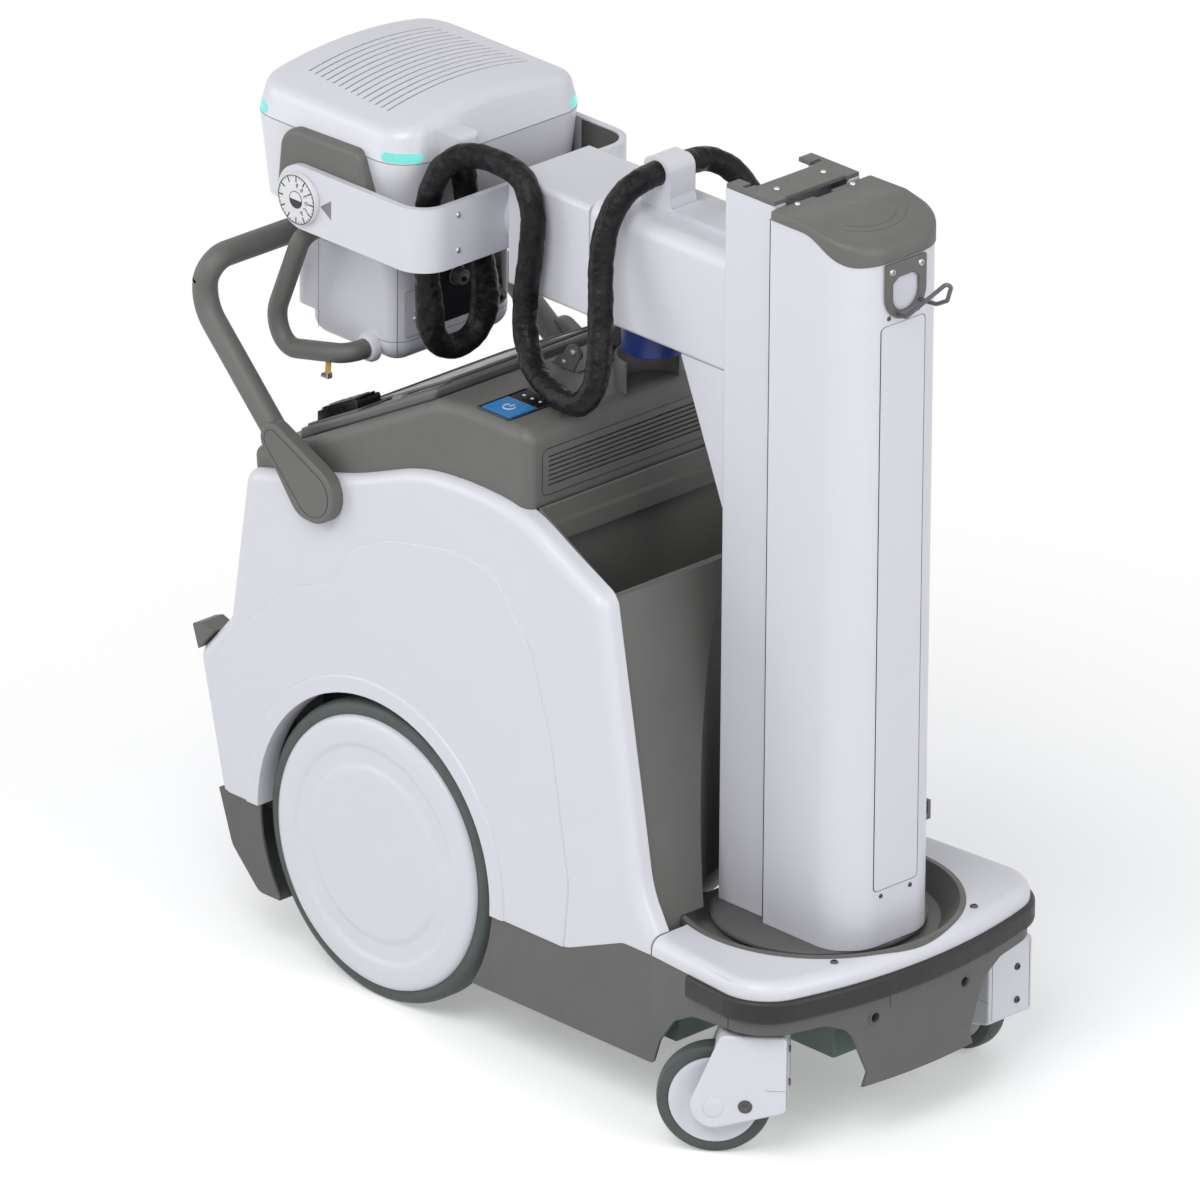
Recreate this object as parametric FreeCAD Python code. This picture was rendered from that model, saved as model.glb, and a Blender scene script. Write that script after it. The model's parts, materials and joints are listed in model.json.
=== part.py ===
import FreeCAD, Part
import math
import os

from FreeCAD import Vector as V

# Mobile x-ray machine, sizes in millimetres.
# +X is the front (column end), +Z is up, the mid-plane is Y = 0,
# and the origin is on the floor in the mid-plane, near mid-length.
# The machine's right side is -Y. Paired pieces are made for the right and mirrored.

# Clearances
running_gap = 0.1
seat_gap = 0.3
slide_gap = 0.5

# Body and covers
body_half = 262.0
cover_depth = 34.0
cover_wall = 6.0
cover_edge = 18.0
cabinet_half = body_half - cover_depth
sheet = 4.0
skirt_bottom = 90.0
skirt_top_front = 206.0
skirt_top_rear = 217.0
deck_seam_x = 313.0
deck_low = 251.0
deck_height = 25.0
deck_top = deck_low + deck_height
cover_rear_foot_x = -554.0
cover_notch = (-600.0, 410.0)
cover_waist = (-537.0, 481.0)
cover_shoulder = (-504.0, 714.0)
cover_nose = (207.0, 742.0)
cover_crest = [
    (-294.0, 769.0, 700),
    (-159.0, 823.0, 320),
    (-57.0, 831.0, 600),
    (42.0, 825.0, 220),
    (133.0, 777.0, 600),
]
grip_width = 41.0
panel_rise = 2.0
side_panel = [
    (-530, 200),
    (-574, 404, 30),
    (-522, 466, 40),
    (-418, 563, 80),
    (-318, 604, 40),
    (-290, 664, 50),
    (-211, 702, 150),
    (-72, 730, 200),
    (2, 716, 50),
    (69, 634, 150),
    (112, 510, 300),
    (150, 300, 60),
    (140, 200),
]

# Rear wheels
wheel_x = -236.0
wheel_radius = 220.0
wheel_disc_radius = 200.0
wheel_face = body_half + 5.0
tyre_width = 45.0
tyre_inset = 10.0
arch_gap = 14.0
axle_radius = 15.0
arch_lip = 26.0
arch_rise = 5.0

# Casters
caster_x = 466.0
caster_y = body_half - 37.0
caster_radius = 80.0
caster_hub_radius = 63.0
caster_width = 33.0
caster_trail = 45.0
caster_front = 55.0
caster_half = 42.0
caster_plate = 7.0
caster_top = 188.0
caster_heel = (-98.6, 33.4)
caster_heel_radius = 32.0
caster_stem_radius = 12.0
caster_boss_radius = 22.0
caster_stem_top = 236.0
caster_pin_radius = 8.0
caster_turn_right = 42.0

# Chassis frame
rail_low = 198.0
rail_size = 40.0
rail_top = rail_low + rail_size
rail_y = 170.0
rail_rear_x = -480.0
rail_front_x = 541.0
post_rear_x = -500.0
post_size = 25.0
post_front_x = 15.0
shelf_thick = 10.0
shelf_low = 290.0
shelf_mid = 460.0
shelf_high = cover_shoulder[1] - shelf_thick

# Front deck, well and bumper
deck_flare = 13.0
deck_half = body_half + deck_flare
deck_front_x = 578.0
deck_bow_radius = 801.0
deck_corner_radius = 75.0
deck_edge_radius = 18.0
deck_wall = 6.0
well_x = 371.0
well_radius = 202.0
well_slope = 34.0
well_floor = 246.0
bumper_half = deck_half + 7.0
bumper_low = 218.0
bumper_rear_x = 393.0
skirt_split_x = 474.0
skirt_half = deck_half - 3.0
tongue_half = 98.0
tie_face_x = deck_front_x - 8.0
tie_hole_y = 85.5
tie_hole_z = 189.0
tie_hole_radius = 7.0
tie_hole_depth = 12.0

# Console
console_half = body_half - 17.0
console_front_x = 45.0
console_top = 935.0
console_edge = 18.0
console_slope_top = (-140.0, 926.0)
console_slope_foot = (-452.0, 760.0)
lid_thick = 16.0
lid_half = console_half - 23.0
glass_thick = 3.0
glass_half = 150.0
louvre_count = 7
louvre_pitch = 7.0
louvre_slot = 2.5
louvre_half = console_half - 40.0
louvre_low = 846.0
louvre_depth = 4.0
button_x = -37.0
button_y = 43.0 - console_half
button_length = 55.0
button_width = 50.0
button_travel = 2.0

# Detector bin
bin_wall = 3.0
bin_rear_x = 50.0
bin_front_x = 201.0
bin_floor = 330.0
bin_ledge = 14.0
scallop_radius = 163.0

# Push handle
handle_radius = 18.0
handle_y = body_half + 2.0
handle_grip_y = body_half - 17.0
handle_boss = (-358.0, 727.0)
handle_boss_radius = 38.0
handle_boss_thick = 20.0
handle_elbow = (-606.0, 931.0)
handle_crown = (-593.0, 996.0)

# Column and mast
column_half = 93.0
column_rear_x = 357.0
column_front_x = 519.0
column_corner = 60.0
column_wall = 4.0
column_low = 262.0
column_top = 1304.0
cap_side_drop = 32.0
cap_top = column_top + 14.0
key_half = 14.5
key_depth = 6.0
turntable_radius = 150.0
turntable_hub = 50.0
turntable_low = 252.0
mast_half = 81.0
mast_rear_x = 256.0
mast_front_x = 352.0
mast_wall = 5.0
mast_web_x = 300.0
mast_top = column_top + 12.0
bracket_thick = 6.0
strip_half = 27.0
strip_low = 350.0
strip_top = column_top - 132.0
hook_plate_half = 38.0
hook_plate_top = column_top - 34.0
hook_plate_low = column_top - 119.0

# Boom
boom_half = 77.0
boom_low = 1043.0
boom_top = boom_low + 169.0
boom_wall = 5.0
boom_rear_x = -10.0
boom_round = 22.0
gusset_low = boom_low - 217.0
gusset_rear_x = 168.0
end_x = -168.0
end_half = 79.0
end_top = boom_top - 6.0
clamp_x = 65.0
clamp_length = 52.0
clamp_half = 24.0
clamp_height = 72.0
clamp_foot = 6.0
puck_x = 38.0
puck_radius = 45.0
puck_low = boom_low - 53.0

# Yoke
yoke_half = 207.0
yoke_thick = 10.0
yoke_front_x = -205.0
yoke_corner = 48.0
roll_z = boom_low + 79.0
yoke_mid_z = roll_z
yoke_height = 94.0
yoke_hub_radius = 52.0

# Tube head and collimator
trunnion_x = -447.0
trunnion_radius = 14.0
dial_radius = 37.0
dial_thick = 9.0
head_rear_x = -578.0
head_front_x = -285.0
head_half = 167.0
head_corner = 42.0
head_low = roll_z - 37.0
head_seam = roll_z + 85.0
head_top = head_seam + 66.0
head_flare = 14.0
head_shoulder = 44.0
head_crown_radius = 620.0
head_edge = 20.0
hood = (-238.0, 40.0, 38.0)
vent_count = 14
vent_pitch = 13.3
vent_first_x = -528.0
vent_half = (118.0, 133.0)
vent_width = 2.6
vent_depth = 5.0
collimator_rear_x = -537.0
collimator_front_x = -354.0
collimator_half = 115.0
collimator_low = head_low - 215.0
collimator_corner = 32.0
collimator_round = 28.0
collimator_tail = 26.0
collimator_tail_low = collimator_low + 39.0
control_panel = (-52.0, 110.0, collimator_low + 44.0, collimator_low + 164.0)
knob_places = [(70.0, collimator_low + 60.0), (0.0, collimator_low + 108.0)]
knob_radius = 11.0
knob_shaft_radius = 5.0
grab_radius = 14.0
grab_half = 158.0

# Hoses
hose_radius = 17.0
gland_length = 6.0
hose_inlet = (-252.0, -88.0)
boom_gland = (140.0, boom_top - 80.0)
hose_joint = (-172.0, -89.0, 16.0)
clamp_socket_z = 51.0
clamp_socket_depth = 14.0
loop_route = [
    (58, -84, 34),
    (50, -107, -12),
    (52, -117, -66),
    (66, -129, -126),
    (82, -146, -182),
    (88, -160, -224),
    (70, -171, -255),
    (29, -165, -258.5),
    (-14, -151, -258.5),
    (-60, -131, -255),
    (-97, -113, -226),
    (-109, -105, -182),
    (-104, -103, -122),
    (-94, -103, -62),
    (-98, -101, -10),
    (-128, -93, 20),
]
head_route = [
    (-194, -87, 14),
    (-217, -104, -9),
    (-241, -137, -35),
    (-252, -153, -74),
    (-252, -157, -120),
    (-252, -154, -168),
    (-251, -147, -208),
    (-248, -128, -242),
    (-244, -97, -246),
    (-240, -75, -218),
    (-238, -72, -170),
    (-243, -78, -104),
    (-252, -88, -52),
]
back_route = [
    (70, 78, 46),
    (94, 101, 26),
    (116, 112, -10),
    (134, 115, -48),
]


def vec(plane, a, b, h):
    return {"xz": V(a, h, b), "xy": V(a, b, h), "yz": V(h, a, b)}[plane]


def outline(plane, corners, h):
    """Closed wire through corners (a, b) or (a, b, r), where r rounds that corner."""
    points = [V(c[0], c[1], 0) for c in corners]
    edges, ends = [], []
    for i, c in enumerate(corners):
        here = points[i]
        radius = c[2] if len(c) > 2 else 0.0
        if radius <= 0:
            ends.append((here, None, here))
            continue
        back = (points[i - 1] - here).normalize()
        on = (points[(i + 1) % len(points)] - here).normalize()
        half = back.getAngle(on) / 2
        reach = radius / math.tan(half)
        middle = (back + on).normalize() * (radius / math.sin(half) - radius)
        ends.append((here + back * reach, here + middle, here + on * reach))
    place = lambda p: vec(plane, p.x, p.y, h)
    for i, (start, middle, end) in enumerate(ends):
        if middle is not None:
            edges.append(Part.Arc(place(start), place(middle), place(end)).toShape())
        following = ends[(i + 1) % len(ends)][0]
        if (following - end).Length > 1e-6:
            edges.append(Part.LineSegment(place(end), place(following)).toShape())
    return Part.Wire(edges)


def slab(plane, corners, h0, h1):
    face = Part.Face(outline(plane, corners, h0))
    return face.extrude(vec(plane, 0, 0, h1 - h0))


def block(x0, x1, y0, y1, z0, z1):
    return Part.makeBox(x1 - x0, y1 - y0, z1 - z0, V(x0, y0, z0))


def rod(radius, start, end):
    return Part.makeCylinder(radius, (end - start).Length, start, end - start)


def tray(corners, rim, face, wall):
    """Shell open towards the mid-plane: outer outline less its inset."""
    outer = slab("xz", corners, rim, face)
    inset = Part.Face(outline("xz", corners, rim)).makeOffset2D(-wall)
    sign = 1 if face > rim else -1
    return outer.cut(inset.extrude(V(0, face - rim - sign * wall, 0)))


def fillet(shape, radius, pick):
    edges = [e for e in shape.Edges if pick(e)]
    return shape.makeFillet(radius, edges)


def turned(profile, centre, axis):
    """Solid of revolution from (radius, height) pairs, with its heights along axis."""
    points = [V(r, 0, h) for r, h in profile]
    wire = Part.makePolygon(points + [points[0]])
    solid = Part.Face(wire).revolve(V(0, 0, 0), V(0, 0, 1), 360)
    solid.Placement = FreeCAD.Placement(centre, FreeCAD.Rotation(V(0, 0, 1), axis))
    return solid


def tube_path(points, radius_share=0.45, bends=None):
    """Straight runs joined by tangent arcs, as one wire."""
    edges, last = [], points[0]
    for i in range(1, len(points) - 1):
        here = points[i]
        back, on = points[i - 1] - here, points[i + 1] - here
        turn = math.pi - back.getAngle(on)
        if bends:
            radius = bends[i - 1]
        else:
            radius = radius_share * min(back.Length, on.Length) / math.tan(turn / 2)
        reach = radius * math.tan(turn / 2)
        back.normalize()
        on.normalize()
        start, end = here + back * reach, here + on * reach
        half = (math.pi - turn) / 2
        middle = here + (back + on).normalize() * (radius / math.sin(half) - radius)
        if (start - last).Length > 1e-6:
            edges.append(Part.LineSegment(last, start).toShape())
        edges.append(Part.Arc(start, middle, end).toShape())
        last = end
    edges.append(Part.LineSegment(last, points[-1]).toShape())
    return Part.Wire(edges)


def tube(points, radius, **how):
    path = tube_path(points, **how)
    start = points[1] - points[0]
    ring = Part.Wire(Part.makeCircle(radius, points[0], start))
    return path.makePipeShell([ring], True, True)


def hull_plate(circles, y0, y1):
    """Plate round two circles (x, z, r) in the XZ plane, with tangent sides."""
    (xa, za, ra), (xb, zb, rb) = circles
    length = math.hypot(xb - xa, zb - za)
    along = math.atan2(zb - za, xb - xa)
    lean = math.acos((ra - rb) / length)
    points = []
    for sign in (1, -1):
        ang = along + sign * lean
        for x, z, r in circles:
            points.append(V(x + r * math.cos(ang), y0, z + r * math.sin(ang)))
    left_a, left_b, right_a, right_b = points
    back = V(xa - ra * math.cos(along), y0, za - ra * math.sin(along))
    tip = V(xb + rb * math.cos(along), y0, zb + rb * math.sin(along))
    edges = [
        Part.LineSegment(left_a, left_b).toShape(),
        Part.Arc(left_b, tip, right_b).toShape(),
        Part.LineSegment(right_b, right_a).toShape(),
        Part.Arc(right_a, back, left_a).toShape(),
    ]
    return Part.Face(Part.Wire(edges)).extrude(V(0, y1 - y0, 0))


def mirrored(shape):
    return shape.mirror(V(0, 0, 0), V(0, 1, 0))


def both(shape):
    return Part.makeCompound([shape, mirrored(shape)])


def save(name, shape):
    shape.exportStep("parts/" + name + ".step")


# Chassis frame: rails, cross members, caster plates, column bearing, posts and shelves
def chassis_frame():
    inner = rail_y - rail_size / 2
    outer = rail_y + rail_size / 2
    pieces = []
    for side in (-1, 1):
        y0, y1 = sorted((side * inner, side * outer))
        pieces.append(block(rail_rear_x, rail_front_x, y0, y1, rail_low, rail_top))
        y0, y1 = sorted((side * outer, side * (caster_y + caster_boss_radius)))
        pieces.append(block(caster_x - 34, caster_x + 34, y0, y1, rail_top - 14, rail_top))
        boss = V(caster_x, side * caster_y, caster_top + 2)
        pieces.append(rod(caster_boss_radius, boss, V(boss.x, boss.y, rail_top)))
        y0, y1 = sorted((side * (cabinet_half - rail_size), side * cabinet_half))
        for x in (post_rear_x, post_front_x):
            top = shelf_high + shelf_thick
            pieces.append(block(x, x + post_size, y0, y1, rail_top, top))
        y0, y1 = sorted((side * inner, side * cabinet_half))
        for x in (post_rear_x, post_front_x):
            pieces.append(block(x, x + post_size, y0, y1, rail_low, rail_top))
    for x in (rail_rear_x, -90.0, 200.0, rail_front_x - rail_size):
        pieces.append(block(x, x + rail_size, -inner, inner, rail_low, rail_top))
    reach = turntable_hub + 30
    pieces.append(block(well_x - reach, well_x + reach, -inner, inner, rail_low, rail_top))
    shelf_end = post_front_x + post_size
    for z in (shelf_low, shelf_mid):
        half = cabinet_half - rail_size
        pieces.append(block(post_rear_x, shelf_end, -half, half, z, z + shelf_thick))
    pieces.append(
        block(post_rear_x, shelf_end, -cabinet_half, cabinet_half, shelf_high, shelf_high + shelf_thick)
    )
    frame = pieces[0].multiFuse(pieces[1:])
    hub = rod(turntable_hub + running_gap, V(well_x, 0, 0), V(well_x, 0, rail_top + 1))
    axle = rod(axle_radius + running_gap, V(wheel_x, -300, wheel_radius), V(wheel_x, 300, wheel_radius))
    cuts = [hub, axle]
    for side in (-1, 1):
        foot = V(caster_x, side * caster_y, 0)
        cuts.append(rod(caster_stem_radius + running_gap, foot, foot + V(0, 0, caster_stem_top)))
    return frame.cut(cuts).removeSplitter()


def battery_pack():
    low = shelf_low + shelf_thick
    cells = []
    for i in range(4):
        x = -440.0 + i * 112.0
        cell = block(x, x + 104.0, -170, 170, low, low + 130)
        post = rod(8, V(x + 52, -60, low + 130), V(x + 52, -60, low + 142))
        cells.append(cell.fuse([post, mirrored(post)]))
    return Part.makeCompound(cells)


def generator():
    low = shelf_mid + shelf_thick
    case = block(-430, -30, -165, 165, low, low + 190)
    lid = block(-440, -20, -172, 172, low + 190, low + 200)
    sockets = [rod(22, V(-90 - i * 90, 60, low + 200), V(-90 - i * 90, 60, low + 226)) for i in range(2)]
    return case.fuse([lid] + sockets)


def drive_motors():
    inner = rail_y - rail_size / 2
    box_part = block(wheel_x - 48, wheel_x + 48, -inner, -inner + 46, wheel_radius - 60, wheel_radius + 60)
    motor = rod(42, V(wheel_x, -inner + 46, wheel_radius), V(wheel_x, -20, wheel_radius))
    bore = rod(axle_radius + running_gap, V(wheel_x, -inner - 1, wheel_radius), V(wheel_x, -inner + 42, wheel_radius))
    return both(box_part.fuse(motor).cut(bore))


# Covers
def cover_profile():
    return [
        (cover_rear_foot_x, skirt_top_rear),
        (*cover_notch, 24),
        (*cover_waist, 22),
        (*cover_shoulder, 28),
        *cover_crest,
        (*cover_nose, 30),
        (282, 330, 150),
        (deck_seam_x, deck_top),
        (deck_seam_x, deck_low),
        (257, deck_low, 40),
        (146, skirt_top_front, 50),
        (wheel_x + wheel_radius, skirt_top_front),
        (wheel_x - wheel_radius, skirt_top_rear),
    ]


def arch_cut(depth):
    radius = wheel_radius + arch_gap
    return rod(radius, V(wheel_x, -body_half - 50, wheel_radius), V(wheel_x, -body_half + depth, wheel_radius))


def side_cover():
    shell = tray(cover_profile(), -cabinet_half, -body_half, cover_wall)
    crest = lambda e: e.BoundBox.YMax < 0.01 - body_half and e.BoundBox.ZMin > cover_nose[1] + 10
    shell = fillet(shell, cover_edge, crest)
    radius = wheel_radius + arch_gap
    inside = slab("xz", cover_profile(), -body_half, -body_half - arch_rise)
    ring = rod(radius + arch_lip, V(wheel_x, -body_half, wheel_radius), V(wheel_x, -body_half - arch_rise, wheel_radius))
    ring = fillet(ring, arch_rise - 0.5, lambda e: e.BoundBox.YMax < -body_half - 1 and e.Length > 50)
    panel = slab("xz", side_panel, -body_half, -body_half - panel_rise)
    panel = fillet(panel, panel_rise - 0.2, lambda e: e.BoundBox.YMax < -body_half - 1)
    raised = ring.fuse(panel).common(inside)
    collar = rod(radius + cover_wall, V(wheel_x, -cabinet_half - 6, wheel_radius), V(wheel_x, -body_half, wheel_radius))
    collar = collar.common(slab("xz", cover_profile(), -cabinet_half, -body_half))
    return shell.fuse([raised, collar]).cut(arch_cut(60)).removeSplitter()


def side_skirt():
    corners = [
        (wheel_x + 150, skirt_bottom),
        (318, skirt_bottom, 8),
        (332, 130, 20),
        (362, 170, 20),
        (400, 190, 30),
        (skirt_split_x - seat_gap, 198),
        (skirt_split_x - seat_gap, bumper_low),
        (bumper_rear_x, bumper_low),
        (bumper_rear_x, deck_low),
        (257, deck_low, 40),
        (146, skirt_top_front, 50),
        (wheel_x + 150, skirt_top_front),
    ]
    rear, split = wheel_x + 140, skirt_split_x
    wall = [
        (rear, -body_half),
        (deck_seam_x, -body_half),
        (split, -skirt_half),
        (split, -skirt_half + sheet),
        (deck_seam_x, -body_half + sheet),
        (rear, -body_half + sheet),
    ]
    side = slab("xz", corners, -body_half - 50, 0)
    return side.common(slab("xy", wall, 0, deck_top)).cut(arch_cut(60))


def rear_cover():
    outer = [cover_shoulder, (cover_waist[0], cover_waist[1], 22), (cover_notch[0], cover_notch[1], 14)]
    foot = (cover_rear_foot_x, skirt_top_rear)
    inner = [
        (foot[0] + sheet, foot[1]),
        (cover_notch[0] + 1.2 * sheet, cover_notch[1] + sheet / 2, 10),
        (cover_waist[0] + 1.2 * sheet, cover_waist[1] - sheet / 2, 18),
        (cover_shoulder[0] + sheet, cover_shoulder[1]),
    ]
    return slab("xz", outer + [foot] + inner, -cabinet_half, cabinet_half)


def rear_skirt():
    corners = [
        (cover_rear_foot_x, skirt_top_rear),
        (-527, 139, 30),
        (-472, 84, 20),
        (-430, 84),
        (-430, skirt_top_rear),
    ]
    hollow = [
        (cover_rear_foot_x + sheet, skirt_top_rear + 1),
        (-527 + sheet, 139 + sheet, 26),
        (-472 + sheet, 84 + sheet, 16),
        (-420, 84 + sheet),
        (-420, skirt_top_rear + 1),
    ]
    shell = slab("xz", corners, -body_half, body_half)
    shell = shell.cut(slab("xz", hollow, -body_half + sheet, body_half - sheet))
    cut = arch_cut(60)
    return shell.cut([cut, mirrored(cut)])


def rear_grip():
    """Pair of blocks on the sloping face between notch and waist."""
    (x0, z0), (x1, z1) = cover_notch, cover_waist
    on_slope = lambda t: (x0 + (x1 - x0) * t, z0 + (z1 - z0) * t)
    corners = [on_slope(0.06), (x0 - 8, z0 + 39, 3), (x0 + 10, z0 + 46, 3), on_slope(0.55)]
    return both(slab("xz", corners, -body_half, -body_half + grip_width))


# Front deck
def front_edge(rear_x, grow, z):
    """Plan outline of the front: flaring sides, rounded corners and a bowed front."""
    half = deck_half + grow
    centre_x = deck_front_x - deck_bow_radius
    centre_y = deck_half - deck_corner_radius
    reach = deck_bow_radius - deck_corner_radius
    corner_x = centre_x + math.sqrt(reach**2 - centre_y**2)
    lean = math.atan2(centre_y, corner_x - centre_x)
    radius = deck_corner_radius + grow
    bow = deck_bow_radius + grow
    touch = V(centre_x + bow * math.cos(lean), bow * math.sin(lean), z)
    halfway = (lean + math.pi / 2) / 2
    mid = V(corner_x + radius * math.cos(halfway), centre_y + radius * math.sin(halfway), z)
    flip = lambda p: V(p.x, -p.y, p.z)
    flare = deck_flare * (corner_x - rear_x) / (corner_x - deck_seam_x)
    start, side = V(rear_x, half - flare, z), V(corner_x, half, z)
    edges = [
        Part.LineSegment(start, side).toShape(),
        Part.Arc(side, mid, touch).toShape(),
        Part.Arc(touch, V(deck_front_x + grow, 0, z), flip(touch)).toShape(),
        Part.Arc(flip(touch), flip(mid), flip(side)).toShape(),
        Part.LineSegment(flip(side), flip(start)).toShape(),
        Part.LineSegment(flip(start), start).toShape(),
    ]
    return Part.Face(Part.Wire(edges))


def front_slab(rear_x, grow, z0, z1):
    return front_edge(rear_x, grow, z0).extrude(V(0, 0, z1 - z0))


def front_deck():
    plate = front_slab(deck_seam_x, 0, deck_low, deck_top)
    plate = fillet(plate, deck_edge_radius, lambda e: e.BoundBox.ZMin > deck_top - 0.1 and e.BoundBox.XMax > deck_seam_x + 1)
    pocket = front_slab(deck_seam_x + deck_wall, -deck_wall, deck_low - 1, deck_top - deck_wall)
    ring = rod(well_radius + sheet, V(well_x, 0, 0), V(well_x, 0, 500))
    hole = rod(well_radius, V(well_x, 0, 0), V(well_x, 0, 500))
    return plate.cut(pocket.cut(ring)).cut(hole)


def deck_well():
    low = well_floor
    profile = [
        (turntable_hub + 6, low),
        (well_radius - well_slope, low),
        (well_radius - 10, deck_top - 8),
        (well_radius - seat_gap, deck_top - 8),
        (well_radius - seat_gap, deck_top + 1.5),
        (well_radius - 8, deck_top + 2),
        (well_radius - well_slope, low + sheet),
        (turntable_hub + 6, low + sheet),
    ]
    ring = turned(profile, V(well_x, 0, 0), V(0, 0, 1))
    feet = block(well_x - 70, well_x + 70, -70, 70, rail_top, low)
    feet = feet.cut(rod(turntable_hub + 6, V(well_x, 0, 0), V(well_x, 0, 300)))
    keep = block(well_x - scallop_radius + 6, well_x + 300, -300, 300, 0, 400)
    return ring.fuse(feet).common(keep)


def front_skirt():
    grow = skirt_half - deck_half
    shell = front_slab(skirt_split_x, grow, skirt_bottom, bumper_low)
    shell = shell.cut(front_slab(skirt_split_x - 10, grow - sheet, skirt_bottom - 1, bumper_low + 1))
    arches = []
    for side in (-1, 1):
        y0, y1 = sorted((side * tongue_half, side * 400))
        corners = [
            (side * (tongue_half + 8), skirt_bottom - 1),
            (side * tongue_half, 110),
            (side * (tongue_half + 30), 180, 40),
            (side * (tongue_half + 70), 198, 30),
            (side * 400, 198),
            (side * 400, skirt_bottom - 1),
        ]
        arches.append(slab("yz", corners, skirt_split_x - 5, 700))
    shell = shell.cut(arches)
    web = block(rail_front_x, deck_front_x + grow - 1, -60, 60, rail_low, bumper_low - 2)
    shell = shell.fuse(web)
    pads, holes = [], []
    for side in (-1, 1):
        mouth = V(tie_face_x, side * tie_hole_y, tie_hole_z)
        pads.append(rod(16, mouth - V(20, 0, 0), mouth + V(10, 0, 0)))
        holes.append(rod(tie_hole_radius, mouth - V(tie_hole_depth, 0, 0), mouth + V(40, 0, 0)))
    rim = front_slab(skirt_split_x, grow, skirt_bottom, bumper_low)
    pads = [p.common(rim) for p in pads]
    return shell.fuse(pads).cut(holes).removeSplitter()


def bumper():
    grow = bumper_half - deck_half
    ring = front_slab(bumper_rear_x, grow, bumper_low, deck_low)
    ring = fillet(ring, 6, lambda e: e.BoundBox.XMax > bumper_rear_x + 1 and e.BoundBox.ZLength < 0.1)
    hollow = front_slab(bumper_rear_x - 1, -12, bumper_low - 1, deck_low + 1)
    return ring.cut(hollow)


# Console
def slope_z(x):
    (x0, z0), (x1, z1) = console_slope_foot, console_slope_top
    return z0 + (z1 - z0) * (x - x0) / (x1 - x0)


def console_profile():
    low = cover_shoulder[1] - 14
    return [
        (cover_shoulder[0], low),
        (cover_shoulder[0] - 4, cover_shoulder[1] + 26, 10),
        (*console_slope_foot, 40),
        (*console_slope_top, 40),
        (-80, console_top, 60),
        (console_front_x, console_top, 22),
        (console_front_x, low),
    ]


def console_housing():
    body = slab("xz", console_profile(), -console_half, console_half)
    front = lambda e: e.BoundBox.XMin > console_front_x - 0.1 and e.BoundBox.ZLength > 50
    body = fillet(body, console_edge, front)
    floor = block(cover_shoulder[0] - 1, console_front_x + 1, -cabinet_half, cabinet_half, 0, cover_shoulder[1])
    body = body.cut([slab("xz", cover_profile(), -console_half - 1, console_half + 1), floor])
    slots = []
    for i in range(louvre_count):
        z = louvre_low + i * louvre_pitch
        slots.append(
            block(console_front_x - louvre_depth, console_front_x + 1, -louvre_half, louvre_half, z, z + louvre_slot)
        )
    half_x, half_y = button_length / 2 + seat_gap, button_width / 2 + seat_gap
    well = block(
        button_x - half_x, button_x + half_x, button_y - half_y, button_y + half_y, console_top - 14, console_top + 5
    )
    return body.cut(slots + [well])


def sloped(x0, x1, half, lift0, lift1, middle_y=0.0):
    """Slab lying on the console's slope, from lift0 to lift1 above it."""
    radius = (lift1 - lift0) / 4
    corners = [
        (x0, slope_z(x0) + lift0),
        (x0, slope_z(x0) + lift1, radius),
        (x1, slope_z(x1) + lift1, radius),
        (x1, slope_z(x1) + lift0),
    ]
    return slab("xz", corners, middle_y - half, middle_y + half)


def console_lid():
    foot = console_slope_foot[0] + 18
    lid = sloped(foot, console_slope_top[0] - 22, lid_half, 0, lid_thick)
    return fillet(lid, 6, lambda e: e.BoundBox.YLength < 0.1 and e.CenterOfMass.z > slope_z(e.CenterOfMass.x) + 12)


def display_glass():
    foot = console_slope_foot[0] + 40
    return sloped(foot, console_slope_top[0] - 70, glass_half, lid_thick, lid_thick + glass_thick)


def hand_control():
    base = lid_thick
    middle = -188.0
    grip = sloped(-410, -330, 22, base, base + 18, middle)
    return grip


def power_button():
    half_x, half_y = button_length / 2, button_width / 2
    low = console_top - 14 + button_travel + seat_gap
    return block(button_x - half_x, button_x + half_x, button_y - half_y, button_y + half_y, low, console_top + 2)


# Detector bin
def detector_bin():
    top_rear, top_front = 822.0, cover_nose[1] - 2
    half = cabinet_half - seat_gap
    corners = [(bin_rear_x, bin_floor), (bin_front_x, bin_floor), (bin_front_x, top_front), (bin_rear_x, top_rear)]
    w = bin_wall
    inner = [
        (bin_rear_x + w, bin_floor + w),
        (bin_front_x - w, bin_floor + w),
        (bin_front_x - w, top_front + 60),
        (bin_rear_x + w, top_rear + 60),
    ]
    shell = slab("xz", corners, -half, half).cut(slab("xz", inner, -half + w, half - w))
    rim = block(post_front_x + post_size, bin_rear_x, -150, 150, shelf_high, shelf_high + shelf_thick)
    ledge = block(bin_rear_x + w, bin_rear_x + bin_ledge, -half + w, half - w, 770, 796)
    return shell.fuse([rim, ledge])


def bin_front():
    half = cabinet_half - seat_gap
    top = cover_nose[1] - 2
    edges = [
        Part.LineSegment(V(bin_front_x, -half, top), V(cover_nose[0], -half, top)).toShape(),
        Part.Arc(V(cover_nose[0], -half, top), V(247, -half, 480), V(302, -half, rail_top)).toShape(),
        Part.LineSegment(V(302, -half, rail_top), V(bin_front_x, -half, rail_top)).toShape(),
        Part.LineSegment(V(bin_front_x, -half, rail_top), V(bin_front_x, -half, top)).toShape(),
    ]
    panel = Part.Face(Part.Wire(edges)).extrude(V(0, 2 * half, 0))
    scallop = rod(scallop_radius, V(well_x, 0, 0), V(well_x, 0, 1000))
    dish = rod(well_radius + seat_gap, V(well_x, 0, 0), V(well_x, 0, deck_top + 3))
    return panel.cut([scallop, dish])


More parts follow.
